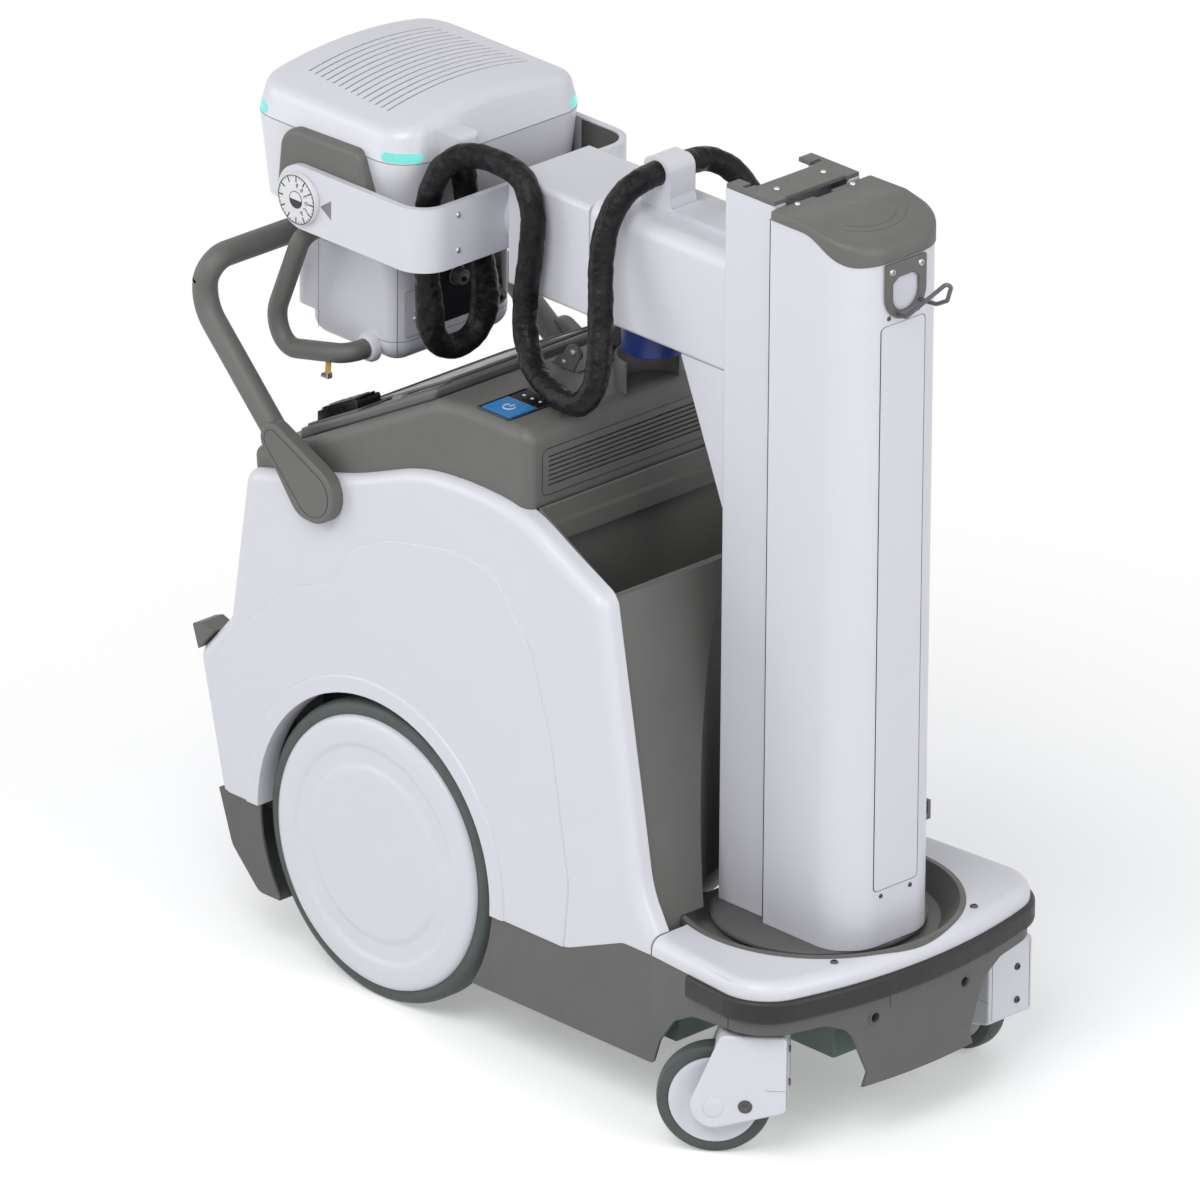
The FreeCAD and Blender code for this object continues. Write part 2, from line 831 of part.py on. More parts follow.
# Push handle
def push_handle():
    boss_x, boss_z = handle_boss
    run_x, run_z = handle_elbow[0] - boss_x, handle_elbow[1] - boss_z
    length = math.hypot(run_x, run_z)
    neck = 92.0 / length
    neck_x, neck_z = boss_x + run_x * neck, boss_z + run_z * neck
    points = [
        V(neck_x, -handle_y, neck_z),
        V(handle_elbow[0], -handle_grip_y, handle_elbow[1]),
        V(handle_crown[0], -handle_grip_y, handle_crown[1]),
        V(handle_crown[0], 0, handle_crown[1]),
    ]
    right = tube(points, handle_radius, bends=[60.0, 34.0])
    plate = hull_plate(
        [(boss_x, boss_z, handle_boss_radius), (neck_x, neck_z, handle_radius)],
        -body_half - seat_gap,
        -body_half - seat_gap - handle_boss_thick,
    )
    outer = lambda e: all(v.Y < -body_half - handle_boss_thick + 1 for v in e.Vertexes)
    plate = fillet(plate, 6, outer)
    knuckle = Part.makeSphere(handle_radius, V(neck_x, -handle_y, neck_z))
    half = right.fuse([plate, knuckle])
    return half.fuse(mirrored(half)).removeSplitter()


# Rear wheels
def rear_tyre():
    r0, r1 = wheel_disc_radius, wheel_radius
    outer = wheel_face - tyre_inset
    inner = outer - tyre_width
    profile = [(r0, inner), (r1 - 6, inner), (r1, inner + 8), (r1, outer - 8), (r1 - 6, outer), (r0, outer)]
    return turned(profile, V(wheel_x, 0, wheel_radius), V(0, -1, 0))


def rear_wheel():
    r = wheel_disc_radius
    f = wheel_face
    profile = [
        (0, f - 9),
        (112, f - 9),
        (118, f - 5),
        (124, f - 3),
        (150, f - 1),
        (160, f - 4),
        (166, f - 4),
        (176, f),
        (188, f),
        (r - 1, f - 8),
        (r, f - 12),
        (r, f - tyre_inset - tyre_width + 4),
        (r - 14, f - tyre_inset - tyre_width + 4),
        (r - 14, f - 30),
        (60, f - 30),
        (60, f - 55),
        (axle_radius, f - 55),
        (axle_radius, rail_y - rail_size / 2 - 40),
        (0, rail_y - rail_size / 2 - 40),
    ]
    return turned(profile, V(wheel_x, 0, wheel_radius), V(0, -1, 0))


# Casters, made trailing towards -X at the origin of the swivel axis
def caster_place(side, turn):
    return FreeCAD.Placement(V(caster_x, side * caster_y, 0), FreeCAD.Rotation(V(0, 0, 1), turn))


def caster_housing():
    top = caster_top
    corners = [
        (caster_front, top, 8),
        (caster_front, 74, 10),
        (*caster_heel, caster_heel_radius),
        (-35, top, 14),
    ]
    shell = slab("xz", corners, -caster_half, caster_half)
    shell = fillet(shell, 4, lambda e: e.BoundBox.YLength < 0.1)
    inner = caster_half - caster_plate
    throat = slab(
        "xz",
        [(caster_front - 8, 166), (caster_front - 8, 20), (-200, 20), (-200, 166)],
        -inner,
        inner,
    )
    shell = shell.cut(throat)
    stem = rod(caster_stem_radius, V(0, 0, top - 4), V(0, 0, caster_stem_top - seat_gap))
    collar = rod(22, V(0, 0, top - 4), V(0, 0, top + 1.5))
    pin = rod(caster_pin_radius, V(-caster_trail, -inner - 2, caster_radius), V(-caster_trail, inner + 2, caster_radius))
    return shell.fuse([stem, collar, pin])


def caster_tyre():
    r0, r1, w = caster_hub_radius, caster_radius, caster_width / 2
    profile = [(r0, -w), (r1 - 5, -w), (r1, -w + 6), (r1, w - 6), (r1 - 5, w), (r0, w)]
    return turned(profile, V(-caster_trail, 0, caster_radius), V(0, -1, 0))


def caster_hub():
    r, w = caster_hub_radius, caster_width / 2 + 2
    bore = caster_pin_radius + running_gap
    hub = caster_half - caster_plate - seat_gap
    profile = [
        (bore, -hub),
        (20, -hub),
        (20, -w + 4),
        (48, -w + 4),
        (54, -w),
        (r, -w),
        (r, w),
        (54, w),
        (48, w - 4),
        (20, w - 4),
        (20, hub),
        (bore, hub),
    ]
    return turned(profile, V(-caster_trail, 0, caster_radius), V(0, -1, 0))


# Column
def turntable():
    profile = [
        (0, rail_low + 4),
        (turntable_hub, rail_low + 4),
        (turntable_hub, turntable_low),
        (turntable_radius - 6, turntable_low),
        (turntable_radius, turntable_low + 4),
        (turntable_radius, column_low - 2),
        (turntable_radius - 4, column_low),
        (0, column_low),
    ]
    return turned(profile, V(well_x, 0, 0), V(0, 0, 1))


def column_section(grow):
    half, corner = column_half + grow, column_corner + grow
    return [
        (column_rear_x, -half),
        (column_front_x + grow, -half, corner),
        (column_front_x + grow, half, corner),
        (column_rear_x, half),
    ]


def key_slot(z0, z1):
    """Room in the column's rear face for the mast's key."""
    rear = column_rear_x
    return block(rear - 1, rear + key_depth + slide_gap, -key_half - slide_gap, key_half + slide_gap, z0, z1)


def column_cover():
    outer = slab("xy", column_section(0), column_low, column_top)
    inner = slab("xy", column_section(-column_wall), column_low - 1, column_top - column_wall)
    groove = slab(
        "yz",
        [(-strip_half, strip_low, 4), (strip_half, strip_low, 4), (strip_half, strip_top, 4), (-strip_half, strip_top, 4)],
        column_front_x - 1.5,
        column_front_x + 1,
    )
    core = slab(
        "yz",
        [
            (-strip_half + 2, strip_low + 2, 3),
            (strip_half - 2, strip_low + 2, 3),
            (strip_half - 2, strip_top - 2, 3),
            (-strip_half + 2, strip_top - 2, 3),
        ],
        column_front_x - 1.5,
        column_front_x + 1,
    )
    keyway = key_slot(column_top - 10, column_top + 1)
    return outer.cut(inner).cut([groove.cut(core), keyway])


def column_core():
    rear, front = column_rear_x, column_front_x - 70
    web = block(rear, front, -20, 20, column_low, column_top - column_wall)
    flange = block(rear, rear + 12, -60, 60, column_low, column_top - column_wall)
    tail = block(front - 12, front, -60, 60, column_low, column_top - column_wall)
    groove = key_slot(column_low - 1, column_top + 1)
    tie = block(front, column_front_x - column_wall, -20, 20, column_top - 60, column_top - 40)
    return web.fuse([flange, tail, tie]).cut(groove)


def column_cap():
    low, rear, front = column_top, column_rear_x, column_front_x + 2
    side = [
        (rear, low),
        (rear, cap_top - 2, 4),
        (rear + 70, cap_top, 60),
        (front, low - 6, 24),
        (front, low - cap_side_drop),
        (front - 28, low - cap_side_drop + 4, 40),
        (rear + 73, low, 40),
    ]
    shape = slab("xz", side, -column_half - 2, column_half + 2)
    plan = slab("xy", column_section(2), low - cap_side_drop - 5, cap_top + 10)
    shape = shape.common(plan)
    return shape.cut([slab("xy", column_section(seat_gap), low - 100, low), key_slot(low - 1, cap_top + 1)])


def hook_plate():
    x, half, low, top = column_front_x + 2.0, hook_plate_half, hook_plate_low, hook_plate_top
    corners = [(-half, low, half - 0.5), (half, low, half - 0.5), (half, top, 3), (-half, top, 3)]
    plate = slab("yz", corners, x, x + 3)
    hole = [(-25, low + 12, 24), (25, low + 12, 24), (25, top - 30, 3), (14, top - 22, 3), (-14, top - 22, 3), (-25, top - 30, 3)]
    stud = rod(3, V(x - 2, 0, top - 10), V(x + 1, 0, top - 10))
    return plate.cut(slab("yz", hole, x - 1, x + 4)).fuse(stud)


def cable_hooks():
    x, z = column_front_x + 5.0, hook_plate_low
    points = [
        V(x, -16, z + 10),
        V(x + 16, -16, z + 10),
        V(x + 94, -4, z + 88),
        V(x + 74, 4, z + 46),
        V(x + 44, 14, z + 29),
        V(x + 14, 26, z + 20),
        V(x, 26, z + 20),
    ]
    loop = tube(points, 3.0, bends=[6.0, 5.0, 5.0, 20.0, 8.0])
    holder_y = column_half + seat_gap
    holder = block(440, 470, holder_y, holder_y + 22, 392, 420)
    slot = block(435, 475, holder_y + 6, holder_y + 16, 402, 425)
    return Part.makeCompound([loop, holder.cut(slot)])


# Mast and carriage
def mast():
    plan = [
        (mast_rear_x, -mast_half, 3),
        (mast_front_x, -mast_half, 3),
        (mast_front_x, mast_half, 3),
        (mast_rear_x, mast_half, 3),
    ]
    body = slab("xy", plan, column_low + slide_gap, mast_top)
    inner = mast_half - mast_wall
    rear = block(mast_rear_x - 1, mast_web_x, -inner, inner, 0, 2000)
    front = block(mast_web_x + mast_wall, mast_front_x + 1, -inner, inner, 0, 2000)
    key = block(mast_web_x + mast_wall, column_rear_x + key_depth, -key_half, key_half, column_low + slide_gap, mast_top - 60)
    lip = block(mast_front_x - 5, mast_front_x, -inner, -60, column_low + slide_gap, mast_top)
    return body.cut([rear, front]).fuse([key, lip, mirrored(lip)])


def mast_bracket():
    z = mast_top
    inner = mast_half - 1
    side = block(mast_rear_x + 2, mast_front_x - 2, -inner, -inner + 24, z, z + bracket_thick)
    slot = block(mast_rear_x + 24, mast_rear_x + 32, -inner + 8, -inner + 40, z - 1, z + bracket_thick + 1)
    side = side.cut(slot)
    bar = block(mast_rear_x + 36, mast_front_x - 6, -inner, inner, z, z + bracket_thick)
    return side.fuse([mirrored(side), bar]).removeSplitter()


def carriage():
    inner = mast_half - mast_wall - slide_gap
    front = mast_web_x - slide_gap
    shoe = block(mast_rear_x + 2, front, -inner, inner, gusset_low, boom_top - 6)
    corners = [
        (mast_rear_x + 2, gusset_low),
        (gusset_rear_x, boom_low - seat_gap),
        (mast_rear_x + 2, boom_low - seat_gap),
    ]
    web = slab("xz", corners, -inner, inner)
    face = block(mast_rear_x - seat_gap, mast_rear_x + 2, -inner, inner, boom_low - seat_gap, boom_top - 6)
    return shoe.fuse([web, face]).removeSplitter()


def boom():
    corners = [(-boom_half, boom_low, 6), (boom_half, boom_low, 6), (boom_half, boom_top, boom_round), (-boom_half, boom_top, boom_round)]
    end = mast_rear_x - seat_gap
    outer = slab("yz", corners, boom_rear_x, end)
    w = boom_wall
    hollow = [
        (-boom_half + w, boom_low + w, 4),
        (boom_half - w, boom_low + w, 4),
        (boom_half - w, boom_top - w, boom_round - w),
        (-boom_half + w, boom_top - w, boom_round - w),
    ]
    rail = block(clamp_x + clamp_length / 2 + clamp_foot, end, -26, 26, boom_top - 1, boom_top + 7)
    x, z = boom_gland
    gland = rod(hose_radius + 5, V(x, boom_half - 2, z), V(x, boom_half + gland_length, z))
    return outer.cut(slab("yz", hollow, boom_rear_x - 1, end - 6)).fuse([rail, gland])


def cable_clamp():
    z = boom_top
    x0, x1 = clamp_x - clamp_length / 2, clamp_x + clamp_length / 2
    foot = clamp_foot
    corners = [
        (x0 - foot, z),
        (x0, z + 20, 6),
        (x0, z + clamp_height, 16),
        (x1, z + clamp_height, 16),
        (x1, z + 20, 6),
        (x1 + foot, z),
    ]
    body = slab("xz", corners, -clamp_half, clamp_half)
    socket = hose_radius + seat_gap
    mouth = -clamp_half + clamp_socket_depth
    bore = rod(socket, V(clamp_x, -clamp_half - 1, z + clamp_socket_z), V(clamp_x, mouth, z + clamp_socket_z))
    return body.cut([bore, mirrored(bore)])


def park_puck():
    z = boom_low - seat_gap
    body = rod(puck_radius, V(puck_x, 0, puck_low), V(puck_x, 0, z))
    return fillet(body, 2, lambda e: e.BoundBox.ZMax < puck_low + 1 and e.Length > 100)


def boom_end():
    corners = [(-end_half, boom_low, 5), (end_half, boom_low, 5), (end_half, end_top, 9), (-end_half, end_top, 9)]
    outer = slab("yz", corners, end_x, boom_rear_x - seat_gap)
    w = boom_wall
    gap = w + slide_gap
    hollow = [
        (-end_half + w, boom_low + w),
        (end_half - w, boom_low + w),
        (end_half - w, end_top - w, 4),
        (-end_half + w, end_top - w, 4),
    ]
    shell = outer.cut(slab("yz", hollow, end_x + w, boom_rear_x + 5))
    beam = block(end_x + w, mast_rear_x - 60, -boom_half + gap + 8, boom_half - gap - 8, boom_low + gap, boom_top - 40)
    beam = beam.cut(block(end_x + w + 4, mast_rear_x, -boom_half + gap + 16, boom_half - gap - 16, boom_low + gap + 8, boom_top - 48))
    bore = rod(30 + running_gap, V(end_x - 1, 0, roll_z), V(end_x + w + 6, 0, roll_z))
    return shell.fuse(beam).cut(bore)


# Yoke
def yoke():
    low, high = yoke_mid_z - yoke_height / 2, yoke_mid_z + yoke_height / 2
    end = trunnion_x - yoke_height / 2
    plan = [(end, -yoke_half), (yoke_front_x, -yoke_half, yoke_corner), (yoke_front_x, yoke_half, yoke_corner), (end, yoke_half)]
    t = yoke_thick
    inner = [
        (end - 1, -yoke_half + t),
        (yoke_front_x - t, -yoke_half + t, yoke_corner - t),
        (yoke_front_x - t, yoke_half - t, yoke_corner - t),
        (end - 1, yoke_half - t),
    ]
    band = slab("xy", plan, low, high).cut(slab("xy", inner, low - 1, high + 1))
    ends = [
        (end, low, yoke_height / 2 - 0.5),
        (-100, low),
        (-100, high),
        (end, high, yoke_height / 2 - 0.5),
    ]
    band = band.common(slab("xz", ends, -300, 300))
    hub = rod(yoke_hub_radius, V(yoke_front_x - 1, 0, roll_z), V(end_x - seat_gap, 0, roll_z))
    shaft = rod(30, V(end_x - 10, 0, roll_z), V(end_x + boom_wall + 4, 0, roll_z))
    pin = rod(trunnion_radius + running_gap, V(trunnion_x, -300, yoke_mid_z), V(trunnion_x, 300, yoke_mid_z))
    return band.fuse([hub, shaft]).cut(pin)


# Tube head
def head_plan(grow):
    c = head_corner + grow
    return [
        (head_rear_x - grow, -head_half - grow, c),
        (head_front_x + grow, -head_half - grow, c),
        (head_front_x + grow, head_half + grow, c),
        (head_rear_x - grow, head_half + grow, c),
    ]


def head_solid(levels):
    """Solid through the head's plan outlines at (grow, height) levels."""
    return Part.makeLoft([outline("xy", head_plan(grow), z) for grow, z in levels], True, True)


def head_levels():
    """Lower body flares up to the seam, the cover leans in above it."""
    lower = [(0, head_low), (head_flare, head_seam - seat_gap)]
    upper = [(head_flare, head_seam), (head_flare - 10, head_seam + head_shoulder), (head_flare - 16, head_top)]
    return lower, upper


def tube_housing():
    body = head_solid(head_levels()[0])
    z = yoke_mid_z + 30
    cavity = rod(54, V(trunnion_x, -130, z), V(trunnion_x, 130, z))
    port = rod(40, V(trunnion_x, 0, head_low - 1), V(trunnion_x, 0, z))
    return body.cut([cavity, port])


def tube_insert():
    z = yoke_mid_z + 30
    bulb = rod(46, V(trunnion_x, -96, z), V(trunnion_x, 60, z))
    anode = rod(24, V(trunnion_x, 60, z), V(trunnion_x, 129.7, z))
    neck = rod(22, V(trunnion_x, -129.7, z), V(trunnion_x, -96, z))
    return bulb.fuse([anode, neck])


def tube_cover():
    body = head_solid(head_levels()[1])
    axis_z = head_top - head_crown_radius
    ends = V(head_rear_x - 40, 0, axis_z), V(head_front_x + 40, 0, axis_z)
    body = body.common(rod(head_crown_radius, *ends))
    body = fillet(body, head_edge, lambda e: e.BoundBox.ZMin > head_seam + head_shoulder - 12 and e.Length > 30)
    slots = []
    for i in range(vent_count):
        x = vent_first_x + i * vent_pitch
        half = vent_half[0] + (vent_half[1] - vent_half[0]) * i / (vent_count - 1)
        slots.append(block(x, x + vent_width, -half, half, head_top - 40, head_top + 5))
    floor = rod(head_crown_radius - vent_depth, *ends)
    reach, width, height = hood
    inlet = block(head_front_x - 8, reach, hose_inlet[1] - width / 2, hose_inlet[1] + width / 2, head_seam, head_seam + height)
    inlet = fillet(inlet, 8, lambda e: e.BoundBox.XMin > head_front_x and e.BoundBox.ZMax > head_seam + 1)
    return body.cut([s.cut(floor) for s in slots]).fuse(inlet)


def side_pads():
    z = roll_z
    corners = [(-512, z - 24, 14), (-500, z + 90, 36), (-346, z + 94, 18), (-316, z - 24, 14)]
    y0 = -head_half + 5
    y1 = -yoke_half + yoke_thick + slide_gap
    pad = slab("xz", corners, y0, y1)
    pad = fillet(pad, 8, lambda e: all(v.Y < y1 + 0.1 for v in e.Vertexes))
    lower, upper = head_levels()
    outside = head_solid([(grow + seat_gap, height) for grow, height in lower[:1] + upper])
    pin = rod(trunnion_radius, V(trunnion_x, y1 + 4, yoke_mid_z), V(trunnion_x, -yoke_half - slide_gap, yoke_mid_z))
    return both(pad.cut(outside).fuse(pin))


def angle_dials():
    y = -yoke_half - slide_gap
    profile = [(0, 0), (dial_radius, 0), (dial_radius, dial_thick - 2), (dial_radius - 2, dial_thick), (0, dial_thick)]
    return both(turned(profile, V(trunnion_x, y, yoke_mid_z), V(0, -1, 0)))


# Collimator
def collimator():
    x0, x1, half = collimator_rear_x, collimator_front_x, collimator_half
    high, tail, corner = head_low - seat_gap, collimator_rear_x - collimator_tail, collimator_corner
    lower = [(x0, -half, corner), (x1, -half, corner), (x1, half, corner), (x0, half, corner)]
    upper = [(tail, -half, 24), (x1, -half, corner), (x1, half, corner), (tail, half, 24)]
    body = slab("xy", lower, collimator_low, collimator_tail_low + 1)
    body = fillet(body, collimator_round, lambda e: e.BoundBox.ZMax < collimator_low + 0.1)
    body = body.fuse(slab("xy", upper, collimator_tail_low, high)).removeSplitter()
    window = block(x0 + 40, x1 - 40, -72, 72, collimator_low - 1, collimator_low + 3)
    y0, y1, z0, z1 = control_panel
    recess = block(x1 - 3, x1 + 1, y0 - 1, y1 + 1, z0 - 1, z1 + 1)
    return body.cut([window, recess])


def collimator_envelope():
    """Rounded front of the collimator, a millimetre proud."""
    x0, x1, half, corner = collimator_rear_x, collimator_front_x + 1, collimator_half + 1, collimator_corner + 1
    return slab("xy", [(x0, -half), (x1, -half, corner), (x1, half, corner), (x0, half)], collimator_low, head_low)


def collimator_panel():
    x = collimator_front_x - 3
    y0, y1, z0, z1 = control_panel
    panel = slab("yz", [(y0, z0, 6), (y1, z0, 6), (y1, z1, 6), (y0, z1, 6)], x, x + 4)
    panel = panel.common(collimator_envelope())
    return panel.cut([rod(knob_shaft_radius + running_gap, V(x - 1, y, z), V(x + 6, y, z)) for y, z in knob_places])


def collimator_knob(y, z):
    x = collimator_front_x - 3 + seat_gap
    knob = rod(knob_radius, V(x + 5, y, z), V(x + 19, y, z))
    knob = fillet(knob, 2, lambda e: e.BoundBox.XMin > x + 18 and e.Length > 50)
    return knob.fuse(rod(knob_shaft_radius, V(x, y, z), V(x + 6, y, z)))


def collimator_handle():
    y, z, face = -grab_half, collimator_low, -collimator_half
    points = [
        V(-496, face, z + 170),
        V(-496, y, z + 170),
        V(-553, y, z + 30),
        V(-528, y, z - 10),
        V(-404, y, z + 18),
        V(-404, face, z + 18),
    ]
    return tube(points, grab_radius, bends=[22.0, 50.0, 30.0, 24.0])


# Hoses: from the clamp down and up to the boom end, from there into the tube head,
# and from the clamp to the boom's far side
def hose(points):
    points = [V(*p) for p in points]
    turns = []
    for i in range(1, len(points) - 1):
        back, on = points[i - 1] - points[i], points[i + 1] - points[i]
        turn = math.pi - back.getAngle(on)
        turns.append(0.45 * min(back.Length, on.Length) / math.tan(turn / 2))
    print("hose radii", [round(r) for r in turns])
    shape = tube(points, hose_radius)
    path = tube_path(points)
    print("hose length", round(path.Length), "volume ratio", shape.Volume / (math.pi * hose_radius**2 * path.Length))
    return shape


def above_boom(route):
    """Hose points whose heights are given from the boom's top."""
    return [(x, y, boom_top + rise) for x, y, rise in route]


def hose_loop():
    z = boom_top + clamp_socket_z
    return hose([
        (clamp_x, -clamp_half + clamp_socket_depth, z),
        (clamp_x, -48, z),
        *above_boom(loop_route),
        above_boom([hose_joint])[0],
    ])


def hose_head():
    x, y = hose_inlet
    return hose([*above_boom([hose_joint] + head_route), (x, y, head_seam)])


def hose_back():
    x, z = boom_gland
    top = boom_top + clamp_socket_z
    return hose([
        (clamp_x, clamp_half - clamp_socket_depth, top),
        (clamp_x, 46, top),
        *above_boom(back_route),
        (x, 106, z),
        (x, boom_half + gland_length, z),
    ])


# Park latch bracket on the console
def park_latch():
    z = console_top
    cheek = hull_plate([(-100, z + 6, 6), (-64, z + 28, 10)], -50, -46)
    foot = block(-112, -60, -50, 50, z, z + 3)
    return foot.fuse([cheek, mirrored(cheek)])


def main():
    os.makedirs("parts", exist_ok=True)
    save("chassis_frame", chassis_frame())
    save("battery_pack", battery_pack())
    save("generator", generator())
    save("drive_motors", drive_motors())
    cover = side_cover()
    save("side_cover_right", cover)
    save("side_cover_left", mirrored(cover))
    save("side_skirts", both(side_skirt()))
    save("rear_cover", rear_cover())
    save("rear_skirt", rear_skirt())
    save("rear_grip", rear_grip())
    save("front_deck", front_deck())
    save("deck_well", deck_well())
    save("front_skirt", front_skirt())
    save("bumper", bumper())
    save("console_housing", console_housing())
    save("console_lid", console_lid())
    save("display_glass", display_glass())
    save("hand_control", hand_control())
    save("power_button", power_button())
    save("detector_bin", detector_bin())
    save("bin_front", bin_front())
    save("push_handle", push_handle())
    for name, shape in (("rear_tyre", rear_tyre()), ("rear_wheel", rear_wheel())):
        save(name + "_right", shape)
        save(name + "_left", mirrored(shape))
    for name, maker in (("housing", caster_housing), ("tyre", caster_tyre), ("hub", caster_hub)):
        for side, label, turn in ((-1, "right", caster_turn_right), (1, "left", 0.0)):
            shape = maker()
            shape.Placement = caster_place(side, turn).multiply(shape.Placement)
            save("caster_" + name + "_" + label, shape)
    save("turntable", turntable())
    save("column_cover", column_cover())
    save("column_core", column_core())
    save("column_cap", column_cap())
    save("hook_plate", hook_plate())
    save("cable_hooks", cable_hooks())
    save("mast", mast())
    save("mast_bracket", mast_bracket())
    save("carriage", carriage())
    save("boom", boom())
    save("cable_clamp", cable_clamp())
    save("park_puck", park_puck())
    save("park_latch", park_latch())
    save("boom_end", boom_end())
    save("yoke", yoke())
    save("tube_housing", tube_housing())
    save("tube_insert", tube_insert())
    save("tube_cover", tube_cover())
    save("side_pads", side_pads())
    save("angle_dials", angle_dials())
    save("collimator", collimator())
    save("collimator_panel", collimator_panel())
    for name, (y, z) in zip(("lower", "upper"), knob_places):
        save("collimator_knob_" + name, collimator_knob(y, z))
    save("collimator_handle", collimator_handle())
    save("hose_loop", hose_loop())
    save("hose_head", hose_head())
    save("hose_back", hose_back())


main()
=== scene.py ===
import json
from math import acos, asin, atan2, cos, degrees, exp, pi, radians, sin, sqrt, tan

import bmesh
import bpy
from mathutils import Matrix, Quaternion, Vector, noise


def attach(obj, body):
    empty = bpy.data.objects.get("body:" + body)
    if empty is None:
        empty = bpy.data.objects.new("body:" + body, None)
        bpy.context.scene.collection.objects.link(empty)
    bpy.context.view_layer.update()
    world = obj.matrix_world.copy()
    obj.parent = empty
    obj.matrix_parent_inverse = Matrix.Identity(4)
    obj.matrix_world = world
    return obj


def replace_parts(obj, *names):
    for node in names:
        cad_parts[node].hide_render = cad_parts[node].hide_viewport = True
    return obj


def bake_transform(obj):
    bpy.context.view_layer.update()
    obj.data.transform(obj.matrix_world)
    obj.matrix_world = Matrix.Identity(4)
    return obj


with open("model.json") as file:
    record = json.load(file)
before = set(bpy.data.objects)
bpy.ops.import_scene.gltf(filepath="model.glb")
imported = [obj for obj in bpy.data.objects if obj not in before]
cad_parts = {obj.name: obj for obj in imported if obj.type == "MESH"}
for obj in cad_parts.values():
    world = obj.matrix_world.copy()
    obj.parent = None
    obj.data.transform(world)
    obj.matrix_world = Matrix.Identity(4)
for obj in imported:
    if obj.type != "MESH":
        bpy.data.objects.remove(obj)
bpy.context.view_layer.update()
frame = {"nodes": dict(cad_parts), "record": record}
nodes = frame["nodes"]
scene = bpy.context.scene
scene.view_settings.view_transform = "Standard"


def add_object(name, data):
    """Object of its own in the scene."""
    made = bpy.data.objects.new(name, data)
    scene.collection.objects.link(made)
    return made


# Camera
camera_aim = Vector((-0.0646, 0.0, 0.5803))
camera_back = Vector((0.6587, -0.6361, 0.4019)).normalized()
camera_distance, camera_lens, sensor_width = 27.55, 600.0, 36.0
camera_roll = radians(0.45)


def place_camera():
    """Long lens at the photograph's viewing angle."""
    data = bpy.data.cameras.new("camera")
    data.lens = camera_lens
    data.sensor_width = sensor_width
    data.clip_end = 100.0
    camera = add_object("camera", data)
    camera.location = camera_aim + camera_distance * camera_back
    turn = (-camera_back).to_track_quat("-Z", "Y") @ Quaternion((0, 0, 1), camera_roll)
    camera.rotation_mode = "QUATERNION"
    camera.rotation_quaternion = turn
    scene.camera = camera


place_camera()


# Materials
looks = {}


def feed(tree, node, *first, **named):
    """Inputs of a node, in order or by name, set to a value or linked to a socket."""
    keys = list(range(len(first))) + [name.replace("_", " ") for name in named]
    for key, value in zip(keys, [*first, *named.values()]):
        if isinstance(value, bpy.types.NodeSocket):
            tree.links.new(value, node.inputs[key])
        else:
            node.inputs[key].default_value = value
    return node


def add_node(tree, kind, *first, **named):
    """New shader node with its inputs fed."""
    return feed(tree, tree.nodes.new("ShaderNode" + kind), *first, **named)


def shading(name):
    """New material with its node tree and shader."""
    made = bpy.data.materials.new(name)
    made.use_nodes = True
    return made, made.node_tree, made.node_tree.nodes["Principled BSDF"]


def ramp(tree, source, low, high):
    """Colour ramp from one linear colour to another over the middle of a noise."""
    node = add_node(tree, "ValToRGB", source)
    for element, position, colour in zip(node.color_ramp.elements, (0.35, 0.65), (low, high)):
        element.position = position
        element.color = (*colour, 1)
    return node.outputs["Color"]


def noise_of(tree, scale, detail=3.0, roughness=0.5):
    spot = add_node(tree, "TexCoord").outputs["Object"]
    node = add_node(tree, "TexNoise", Vector=spot, Scale=scale, Detail=detail, Roughness=roughness)
    return node.outputs["Fac"]


def spread(tree, source, low, high):
    """Middle of a noise spread from low to high."""
    node = add_node(tree, "MapRange", Value=source, From_Min=0.3, From_Max=0.7, To_Min=low, To_Max=high)
    return node.outputs["Result"]


def relief(tree, source, strength, distance, **below):
    node = add_node(tree, "Bump", Strength=strength, Distance=distance, Height=source, **below)
    return node.outputs["Normal"]


def surface(name, colour, rough, tint=0.1, patch=5, grain=900, bump=0.1, edge=0.0, **sockets):
    """Principled material with clouded colour, uneven gloss, a fine grain and softened edges."""
    made, tree, shader = shading(name)
    low = [c * (1 - tint) for c in colour]
    high = [min(1.0, c * (1 + tint)) for c in colour]
    cloud = ramp(tree, noise_of(tree, patch, 4.0), low, high)
    uneven = min(0.06, 2.5 * tint + 0.01)
    gloss = spread(tree, noise_of(tree, patch * 6, 3.0), max(0.02, rough - uneven), rough + uneven)
    below = {}
    if edge:
        round_off = add_node(tree, "Bevel", Radius=edge)
        round_off.samples = 4
        below = {"Normal": round_off.outputs["Normal"]}
    normal = relief(tree, noise_of(tree, grain, 2.0), bump, 0.0004, **below)
    feed(tree, shader, Base_Color=cloud, Roughness=gloss, Normal=normal, **sockets)
    looks[name] = made
    return made


def sleeve_material():
    """Black knitted sleeve: fine mesh and creases, greyer in patches."""
    black, deep, pale = (0.007, 0.007, 0.0075), (0.004, 0.004, 0.0045), (0.016, 0.016, 0.017)
    made = surface("hose_black", black, 0.34, tint=0.3, patch=45, bump=0.0, Specular_IOR_Level=0.16)
    tree = made.node_tree
    cloud = ramp(tree, noise_of(tree, 38.0, 5.0, 0.6), deep, pale)
    creases = relief(tree, noise_of(tree, 60.0, 2.0), 0.9, 0.006)
    knit = relief(tree, noise_of(tree, 900.0, 1.0), 0.5, 0.0006, Normal=creases)
    feed(tree, tree.nodes["Principled BSDF"], Base_Color=cloud, Normal=knit)
    return made


